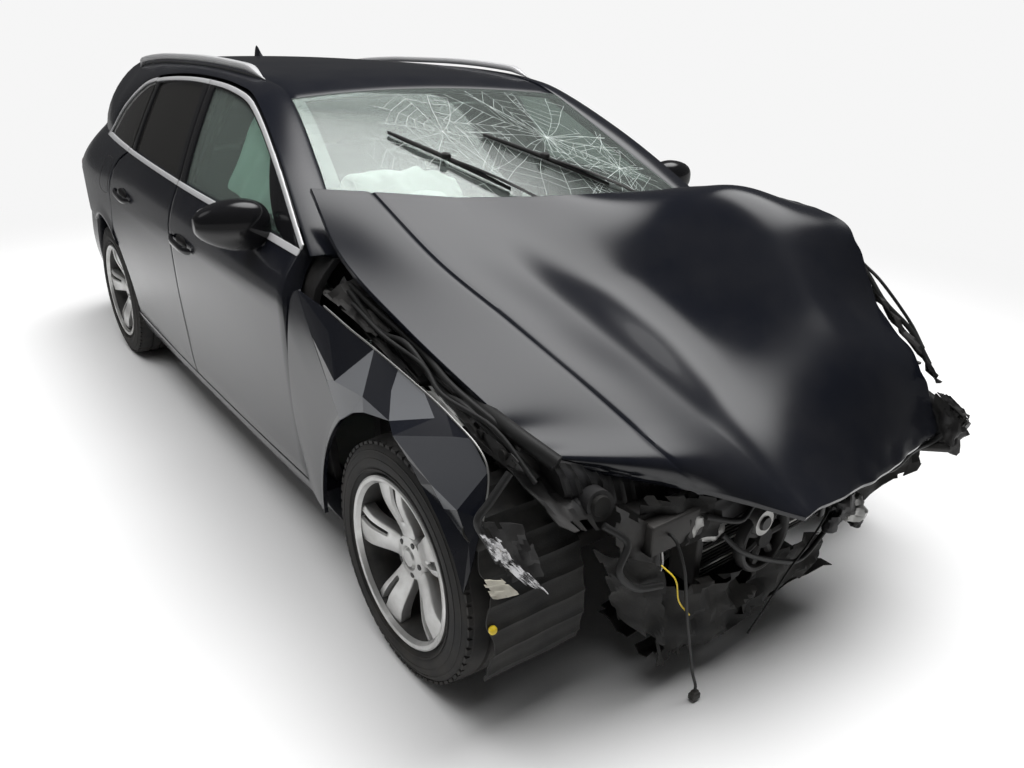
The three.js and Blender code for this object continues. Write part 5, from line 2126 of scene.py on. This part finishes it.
@dataclass
class Wheels(Assembly):
    """Tyres with tread, spoked rims, brake discs."""

    front_half_track: float = 786.0
    rear_half_track: float = 778.0
    spokes: int = 5
    first_spoke: float = 0.035
    lugs: int = 66
    lug_rows: tuple[tuple[float, ...], ...] = ((58, 101, 311, 319, 0.02), (-101, -58, 311, 319, -0.02))
    tyre: tuple[tuple[float, float], ...] = (
        (-92, 216), (-96, 232), (-108, 246), (-114, 264), (-111, 286), (-103, 306), (-90, 318.5),
        (-84, 321), (-46, 325),
        (-44, 317), (-36, 317), (-34, 325.4), (-5, 326), (-4, 318), (4, 318), (5, 326), (34, 325.4),
        (36, 317), (44, 317),
        (46, 325), (84, 321), (90, 318.5), (103, 306), (111, 286), (114, 264), (108, 246), (96, 232),
        (92, 216))
    barrel: tuple[tuple[float, float], ...] = (
        (-108, 200), (-108, 229), (-98, 229), (-94, 216), (94, 216), (97, 229), (106, 230), (109, 226),
        (107, 219),
        (96, 213), (84, 208), (60, 203), (-70, 203))
    lip: tuple[tuple[float, float], ...] = ((93, 217), (98, 230), (107, 231), (110, 226), (108, 217),
                                            (97, 209))
    hub: tuple[tuple[float, float], ...] = (
        (20, 0.5), (20, 66), (54, 66), (66, 58), (70, 34), (66, 30), (64, 28), (72, 22), (73, 0.5))
    disc: tuple[tuple[float, float], ...] = ((-20, 60), (-20, 151), (3, 151), (3, 60))

    def build(self) -> None:
        """Makes the four wheels."""
        for side in Side:
            for end in End:
                half = self.front_half_track if end is End.FRONT else self.rear_half_track
                centre = (side.value * half, 0.0 if end is End.FRONT else WHEELBASE, HUB_HEIGHT)
                self.wheel(side, f"{end.value}_{side.hand}", centre)

    def wheel(self, side: Side, place: str, centre: Triple) -> None:
        """Makes one wheel.

        Args:
            side: right or left.
            place: the wheel's place in node names.
            centre: its middle.
        """
        body = f"wheel_{place}"
        tyre = Mesh(Skin.TYRE)
        tyre.ring(self.tyre, centre, side, 96)
        for i in range(self.lugs):
            turn = 2 * math.pi * i / self.lugs
            for low, high, inner, outer, skew in self.lug_rows:
                angle = turn + skew
                spin = Matrix.Rotation(-angle, 3, "X")
                middle = (inner + outer) / 2
                y = centre[1] + middle * math.sin(angle)
                z = centre[2] + middle * math.cos(angle)
                x0, x1 = sorted((centre[0] + side.value * low, centre[0] + side.value * high))
                half = (outer - inner) / 2
                tyre.block((x0, y - 10, z - half), (x1, y + 10, z + half), turn=spin)
        for radius in (248, 276, 296):
            out = 112.0 if radius < 270 else (112.8 if radius < 280 else 107.5)
            bead = ((out - 4, radius - 3), (out + 1, radius - 1.5),
                    (out + 1, radius + 1.5), (out - 4, radius + 3))
            tyre.ring(bead, centre, side, 96)
        self.factory.place(f"tyre_{place}_tread", tyre, body, f"tyre_{place}")
        rim = Mesh(Skin.ALLOY, Skin.POCKET_SHADE, Skin.RUST, Skin.PLASTIC)
        # The barrel is dark alloy, a painted shade in the gaps between the spokes.
        rim.ring(self.barrel, centre, side, 96, skin=1)
        rim.ring(self.lip, centre, side, 96)
        rim.ring(self.hub, centre, side, 48)
        rim.ring(self.disc, centre, side, 64, skin=2)
        rim.ring(((-40, 20), (-40, 78), (16, 72), (16, 20)), centre, side, 40, skin=2)
        for i in range(self.spokes):
            self.spoke(rim, side, centre, 2 * math.pi * (i + self.first_spoke) / self.spokes)
            turn = 2 * math.pi * (i + self.first_spoke + 0.5) / self.spokes
            y = centre[1] + 47 * math.cos(turn)
            z = centre[2] + 47 * math.sin(turn)
            x = centre[0] + side.value * 60
            rim.bar((x, y, z), (x + side.value * 9, y, z), 9, 8, sides=14, skin=3)
        self.factory.place(f"rim_{place}_alloy", rim, body, f"rim_{place}")

    @staticmethod
    def spoke(rim: Mesh, side: Side, centre: Triple, turn: float) -> None:
        """Adds a broad spoke with a sunk pocket.

        Args:
            rim: the rim's piece.
            side: right or left.
            centre: the wheel's middle.
            turn: the spoke's angle.
        """
        def face(s: float, t: float, depth: float) -> Triple:
            """Point of the spoke.

            Args:
                s: share along.
                t: share across.
                depth: distance inward.

            Returns:
                The point.
            """
            r = lerp(46, 214, s)
            across = 2 * t - 1
            w = across * lerp(30, 62, s ** 1.3)
            crest = lerp(66, 96, ease(s * 1.3)) - 6 * across ** 2
            pocket = 14 * ease((s - 0.3) / 0.1) * ease((0.2 - abs(across - 0.42)) / 0.06)
            pocket *= ease((1 - s) / 0.05)
            o = crest - (pocket if depth == 0 else depth)
            return (centre[0] + side.value * o, centre[1] + r * math.cos(turn) - w * math.sin(turn),
                    centre[2] + r * math.sin(turn) + w * math.cos(turn))

        def shade(s: float, t: float) -> int:
            """Darker metal in the pocket, a painted shade on the spoke's shaded flank."""
            return 1 if 0.36 < s < 0.96 and abs(2 * t - 1.42) < 0.17 else 0

        rim.panel(24, 32, at_depth(face, 0), at_depth(face, 30.0), shade=shade, bevel=3.0)


@dataclass
class Cabin(Assembly):
    """Dashboard, steering wheel, seats, bench and burst airbags."""

    wheel_at: Triple = (365.0, 1030.0, 905.0)
    wheel_radius: float = 180.0
    wheel_tilt: float = 0.42

    def build(self) -> None:
        """Makes the cabin."""
        self.dash()
        self.steering()
        for side in Side:
            self.seat(side)
        self.bench()
        self.bags()

    def dash(self) -> None:
        """Makes the dashboard with vents, hood, screen and console."""
        section = ((0, 440, 760), (1, 450, 928), (2, 560, 948), (3, 700, 952), (4, 850, 936), (5, 905, 880),
                   (6, 896, 800), (7, 800, 715), (8, 600, 715))
        across_y, across_z = Curve(section, 1), Curve(section, 2)

        def face(s: float, a: float) -> Triple:
            """Section of the dashboard, swelling over the instruments.

            Args:
                s: share along.
                a: angle around.

            Returns:
                The point.
            """
            part = 8.98 * a / (2 * math.pi)
            x = lerp(-715, 715, s)
            y, z = across_y(part), across_z(part)
            if part > 8:
                y, z = lerp(600, 440, part - 8), lerp(715, 760, part - 8)
            hood = 34 * math.exp(-((x - 365) / 170) ** 2) * ease(1 - abs(part - 4) / 1.6)
            return x, y + (25 * ease(1 - abs(part - 5) / 2) * math.exp(-((x - 365) / 180) ** 2)), z + hood

        mesh = Mesh(Skin.PLASTIC, Skin.BRIGHT, Skin.GLOSS_BLACK)
        mesh.loft(60, 40, face)
        for x in (-600, -90, 90, 600):
            mesh.block((x - 62, 892, 862), (x + 62, 914, 906), 6, skin=2)
            for k in range(3):
                mesh.block((x - 56, 910, 868 + 12 * k), (x + 56, 918, 872 + 12 * k), 0, skin=1)
        mesh.block((-95, 880, 760), (95, 908, 850), 6, skin=2)
        mesh.block((-110, 760, 345), (110, 1120, 560), 30)
        mesh.block((-80, 860, 556), (80, 1060, 582), 10, skin=2)
        mesh.bar((0, 960, 570), (0, 975, 650), 10, 14, sides=16, skin=2)
        mesh.lump((0, 978, 665), (24, 26, 26), 2.4, skin=2)
        mesh.lump((96, 1176, 1290), (105, 18, 40), 3.0, skin=2)
        self.factory.place("dashboard_trim", mesh, "shell", "dashboard")

    def steering(self) -> None:
        """Makes the steering wheel."""
        c, d = math.cos(self.wheel_tilt), math.sin(self.wheel_tilt)
        cx, cy, cz = self.wheel_at

        def tilted(x: float, up: float, out: float) -> Triple:
            """Point in the wheel's own plane."""
            return cx + x, cy - up * d + out * c, cz + up * c + out * d

        def rim(s: float, a: float) -> Triple:
            """Rim of the wheel.

            Args:
                s: share along.
                a: angle around.

            Returns:
                The point.
            """
            turn = 2 * math.pi * s
            r = self.wheel_radius + 15 * math.cos(a)
            return tilted(r * math.cos(turn), r * math.sin(turn), 14 * math.sin(a))

        mesh = Mesh(Skin.PLASTIC, Skin.BRIGHT, Skin.BAG)
        mesh.loft(56, 14, rim)
        for x, up in ((176, 0), (-176, 0), (0, -176)):
            mesh.bar(tilted(0, 0, 0), tilted(x, up, 0), 20, 13, sides=14)
        mesh.lump(tilted(0, 0, 8), (68, 34, 62), 2.8)
        mesh.lump(tilted(0, -70, 34), (120, 40, 110), 2.4, skin=2, wrinkle=14, size=50, cells=36)
        mesh.bar(tilted(0, 0, -10), (365, 890, 843), 30, 36, sides=24)
        mesh.bar(tilted(-40, 10, -40), tilted(-190, 24, -44), 8, 6, sides=10)
        mesh.bar(tilted(40, 10, -40), tilted(190, 24, -44), 8, 6, sides=10)
        self.factory.place("steering_wheel_trim", mesh, "shell", "steering_wheel")

    def seat(self, side: Side) -> None:
        """Makes a front seat with bolsters and headrest.

        Args:
            side: right or left.
        """
        x = side.value * 392
        mesh = Mesh(Skin.CLOTH, Skin.PLASTIC, Skin.BRIGHT)

        def cushion(s: float, a: float) -> Triple:
            """Seat cushion with raised sides.

            Args:
                s: share along.
                a: angle around.

            Returns:
                The point.
            """
            y = lerp(1152, 1660, s)
            across, up = squared(a, 4)
            end = bulge(s, 0.015, 0.985, 0.25)
            side_lift = 34 * abs(across) ** 3 if up > 0 else 0
            return x + 238 * across * end, y, 412 - 40 * s + (64 * up + side_lift) * end

        def back(s: float, a: float) -> Triple:
            """Seat back with side wings.

            Args:
                s: share along.
                a: angle around.

            Returns:
                The point.
            """
            across, up = squared(a, 4)
            end = bulge(s, 0.015, 0.985, 0.25)
            wide = lerp(236, 190, s ** 2)
            wing = 36 * abs(across) ** 3 if up < 0 else 0
            return (x + wide * across * end, lerp(1640, 1815, s) + 62 * up * end - wing * end,
                    lerp(420, 985, s))

        mesh.loft(24, 32, cushion)
        mesh.loft(28, 32, back)
        mesh.lump((x, 1856, 1090), (135, 52, 78), 3.2, cells=28)
        for out in (-55, 55):
            mesh.bar((x + out, 1812, 960), (x + out, 1850, 1060), 7, sides=12, skin=2)
        mesh.block((x - 205, 1195, 210), (x + 205, 1630, 345), 18, skin=1)
        piece = self.factory.place(f"seat_{side.hand}_cover", mesh, "shell", f"seat_{side.hand}")

    def bench(self) -> None:
        """Makes the rear bench."""
        mesh = Mesh(Skin.CLOTH, Skin.PLASTIC)

        def cushion(s: float, a: float) -> Triple:
            """Bench cushion with two dips.

            Args:
                s: share along.
                a: angle around.

            Returns:
                The point.
            """
            x = lerp(-553, 553, s)
            across, up = squared(a, 4)
            end = bulge(s, 0.01, 0.99, 0.12)
            dip = 14 * math.cos(2 * math.pi * x / 560) if up > 0 else 0
            return x, 2200 + 168 * across, 400 + (88 * up + dip) * end

        def back(s: float, a: float) -> Triple:
            """Bench back, leaning rearward.

            Args:
                s: share along.
                a: angle around.

            Returns:
                The point.
            """
            x = lerp(-553, 553, s)
            across, up = squared(a, 4)
            end = bulge(s, 0.01, 0.99, 0.12)
            rise = 270 * across
            dip = 12 * math.cos(2 * math.pi * x / 560) if up < 0 else 0
            return x, 2450 + 0.26 * rise + (58 * up + dip) * end, 755 + rise

        mesh.loft(40, 32, cushion)
        mesh.loft(40, 32, back)
        for x in (-330, 0, 330):
            mesh.lump((x, 2530, 1010), (115, 34, 40), 3.0, cells=24)
        mesh.block((-545, 2035, 210), (545, 2390, 330), 14, skin=1)
        piece = self.factory.place("bench_cover", mesh, "shell", "rear_bench")

    def bags(self) -> None:
        """Makes the passenger's bag and the hanging curtain bag."""
        dome = Mesh(Skin.BAG)
        dome.lump((-352, 735, 980), (250, 160, 102), 2.5, wrinkle=20, size=95, cells=72)
        dome.lump((-362, 866, 1035), (238, 96, 118), 2.3, wrinkle=16, size=80, cells=72)
        self.factory.place("bag_passenger", dome, "shell", "airbag_passenger", sharp=2.0)

        def curtain(s: float, t: float, depth: float) -> Triple:
            """Point of the curtain, gathered in folds.

            Args:
                s: share along.
                t: share across.
                depth: distance inward.

            Returns:
                The point.
            """
            y = lerp(800, 1330, s)
            low = max(self.curves.belt(y) + 14, self.curves.door_line(y) - 300)
            z = lerp(low, self.curves.door_line(y) - 2, t)
            fold = 10 * math.sin(s * 26 + 2 * t) * (1 - t) + 7 * ruffle(y, z, 11, 80)
            return self.curves.at(Side.RIGHT, y, z, depth + fold)

        bag = Mesh(Skin.GREEN_BAG)
        bag.panel(60, 26, at_depth(curtain, 62.0), at_depth(curtain, 80.0), bevel=5.0)
        self.factory.place("bag_curtain", bag, "shell", "airbag_curtain", sharp=2.0)


@dataclass
class Cords(Assembly):
    """Torn wires that hang from the nose."""

    main_radius: float = 4.0
    short_radius: float = 3.0
    main: tuple[Triple, ...] = (
        (-420, -470.6, 490), (-420, -482, 490), (-422, -504, 476), (-422, -532, 420), (-416, -545, 330),
        (-400, -548, 250), (-380, -550, 170), (-362, -552, 100), (-344, -553, 52), (-342, -553, 33))
    short: tuple[Triple, ...] = (
        (240, -470.6, 490), (240, -482, 490), (232, -506, 476), (180, -540, 410), (70, -556, 330),
        (-20, -560, 270),
        (-100, -562, 190), (-160, -560, 130))

    def build(self) -> None:
        """Makes both wires and the plug."""
        plug = Mesh(Skin.PLASTIC)
        plug.block((-356, -563, 6), (-328, -543, 24), 3)
        plug.block((-352, -560, 20), (-332, -546, 32), 3)
        plug.block((-358, -556, 10), (-326, -550, 16), 1)
        plug_piece = self.factory.place("plug_shell", plug, "shell", "wire_plug")
        self.cord("wire_main", self.main, self.main_radius, "plug", [plug_piece])
        self.cord("wire_short", self.short, self.short_radius, "bare", [])

    def cord(self, node: str, points: Sequence[Triple], radius: float, far_end: str,
             with_pieces: list[bpy.types.Object]) -> None:
        """Args:
            node: the CAD node that it replaces.
            points: its path.
            radius: its radius.
            far_end: what its far end is; not used.
            with_pieces: pieces on it.
        """
        piece = self.factory.lines(f"{node}_line", Skin.WIRE, "shell", ((radius, points),), node)
        path = [row(*p) for p in flow(points)]
        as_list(with_pieces)


@dataclass
class Studio:
    """Camera at the photo's place, pale floor and soft light."""

    position: Triple = (-1.7161, -3.0863, 1.5571)
    azimuth: float = 37.907
    elevation: float = 23.156
    roll: float = 1.782
    lens: float = 28.34
    sensor: float = 36.0
    floor_radius: float = 60.0
    white: float = 0.92
    far_tone: float = 0.26
    dim: float = 0.06
    lamp_size: float = 7.0
    lamp_power: float = 560.0
    lamp_height: float = 5.5
    fade_reach: tuple[float, float] = (2.4, 5.6)
    floor_tone: float = 0.86
    softboxes: tuple[tuple[Triple, float, float, float], ...] = (
        ((0.44, 0.12, 0.89), 0.905, 0.985, 4.0), ((-0.6, 0.3, 0.742), 0.95, 0.99, 0.8))

    def camera(self) -> None:
        """Places the camera."""
        az, el, roll = (math.radians(v) for v in (self.azimuth, self.elevation, self.roll))
        ahead = Vector((math.sin(az) * math.cos(el), math.cos(az) * math.cos(el), -math.sin(el)))
        right = ahead.cross(Vector((0, 0, 1))).normalized()
        up = right.cross(ahead)
        turned_right = right * math.cos(roll) + up * math.sin(roll)
        turned_up = up * math.cos(roll) - right * math.sin(roll)
        data = bpy.data.cameras.new("camera")
        data.lens = self.lens
        data.sensor_width = self.sensor
        data.clip_end = 500.0
        camera = bpy.data.objects.new("camera", data)
        turn = Matrix((turned_right, turned_up, -ahead)).transposed().to_4x4()
        camera.matrix_world = Matrix.Translation(self.position) @ turn
        bpy.context.scene.collection.objects.link(camera)
        bpy.context.scene.camera = camera

    def light(self) -> None:
        """Makes the floor, the sky with its softbox, and the lamp overhead."""
        self.floor()
        world = bpy.data.worlds.new("sky")
        world.use_nodes = True
        tree = world.node_tree
        node = partial(add_node, tree)
        where = node("TexCoord", {}).outputs["Generated"]
        total = self.dim
        for direction, low, high, tone in self.softboxes:
            toward = node("VectorMath", {0: where, 1: direction}, "DOT_PRODUCT")
            glow = node("MapRange", {"From Min": low, "From Max": high, "To Min": 0.0, "To Max": tone,
                                     "Value": toward.outputs["Value"]})
            glow.interpolation_type = "SMOOTHSTEP"
            total = node("Math", {0: glow.outputs["Result"], 1: total}, "ADD").outputs["Value"]
        sky = wire(tree, tree.nodes["Background"], {"Color": (1.0, 1.0, 1.0, 1.0), "Strength": total})
        plain = node("Background", {"Color": (self.white, self.white, self.white, 1.0)})
        seen = node("LightPath", {}).outputs["Is Camera Ray"]
        blend = node("MixShader", {"Fac": seen, 1: sky.outputs["Background"],
                                   2: plain.outputs["Background"]})
        wire(tree, tree.nodes["World Output"], {"Surface": blend.outputs["Shader"]})
        bpy.context.scene.world = world
        lamp = bpy.data.lights.new("overhead", "AREA")
        lamp.size = self.lamp_size
        lamp.energy = self.lamp_power
        holder = bpy.data.objects.new("overhead", lamp)
        holder.location = (0.0, 0.0, self.lamp_height)
        holder.visible_glossy = False
        bpy.context.scene.collection.objects.link(holder)
        bpy.context.scene.view_settings.view_transform = "Standard"

    def floor(self) -> None:
        """Makes a pale floor that runs out into plain white far from the car."""
        part = bmesh.new()
        bmesh.ops.create_circle(part, cap_ends=True, segments=96, radius=self.floor_radius)
        data = bpy.data.meshes.new("floor")
        part.to_mesh(data)
        part.free()
        floor = bpy.data.objects.new("floor", data)
        bpy.context.scene.collection.objects.link(floor)
        material = bpy.data.materials.new("floor")
        material.use_nodes = True
        tree = material.node_tree
        node = partial(add_node, tree)
        near = wire(tree, tree.nodes["Principled BSDF"], {
            "Base Color": (self.floor_tone, self.floor_tone, self.floor_tone, 1.0), "Roughness": 1.0,
            "Specular IOR Level": 0.0})
        seen = node("LightPath", {}).outputs["Is Camera Ray"]
        tone = node("MapRange", {"To Min": self.far_tone, "To Max": self.white, "Value": seen})
        far = node("Emission", {"Strength": tone.outputs["Result"]})
        where = node("TexCoord", {}).outputs["Object"]
        distance = node("VectorMath", {0: where}, "LENGTH").outputs["Value"]
        begin, end = self.fade_reach
        fade = node("MapRange", {"From Min": begin, "From Max": end, "Value": distance})
        fade.interpolation_type = "SMOOTHSTEP"
        blend = node("MixShader", {"Fac": fade.outputs["Result"], 1: near.outputs["BSDF"],
                                   2: far.outputs["Emission"]})
        wire(tree, tree.nodes["Material Output"], {"Surface": blend.outputs["Shader"]})
        data.materials.append(material)


def dress_frame(frame: dict, materials: Materials) -> None:
    """Gives a finish to the CAD nodes that stay in view.

    Args:
        frame: the loaded frame.
        materials: the finishes.
    """
    skins = {"floor_pan": Skin.STEEL, "rear_axle": Skin.STEEL, "exhaust": Skin.RUST,
             "knuckle_right": Skin.STEEL, "knuckle_left": Skin.STEEL}
    for name, skin in skins.items():
        node = frame["nodes"][name]
        node.data.materials.clear()
        node.data.materials.append(materials.get(skin))


def main() -> None:
    """Builds the whole scene."""
    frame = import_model()
    materials = Materials()
    factory = Factory(materials)
    studio = Studio()
    studio.camera()
    curves = BodySide().curves()
    for assembly in (Cords, Doors, SideFrames, Top, Tail, Nose, Wreck, Wheels, Cabin):
        assembly(factory, curves).build()
    dress_frame(frame, materials)
    studio.light()
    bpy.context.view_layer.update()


if __name__ == "__main__":
    logging.basicConfig(level=logging.INFO)
    main()
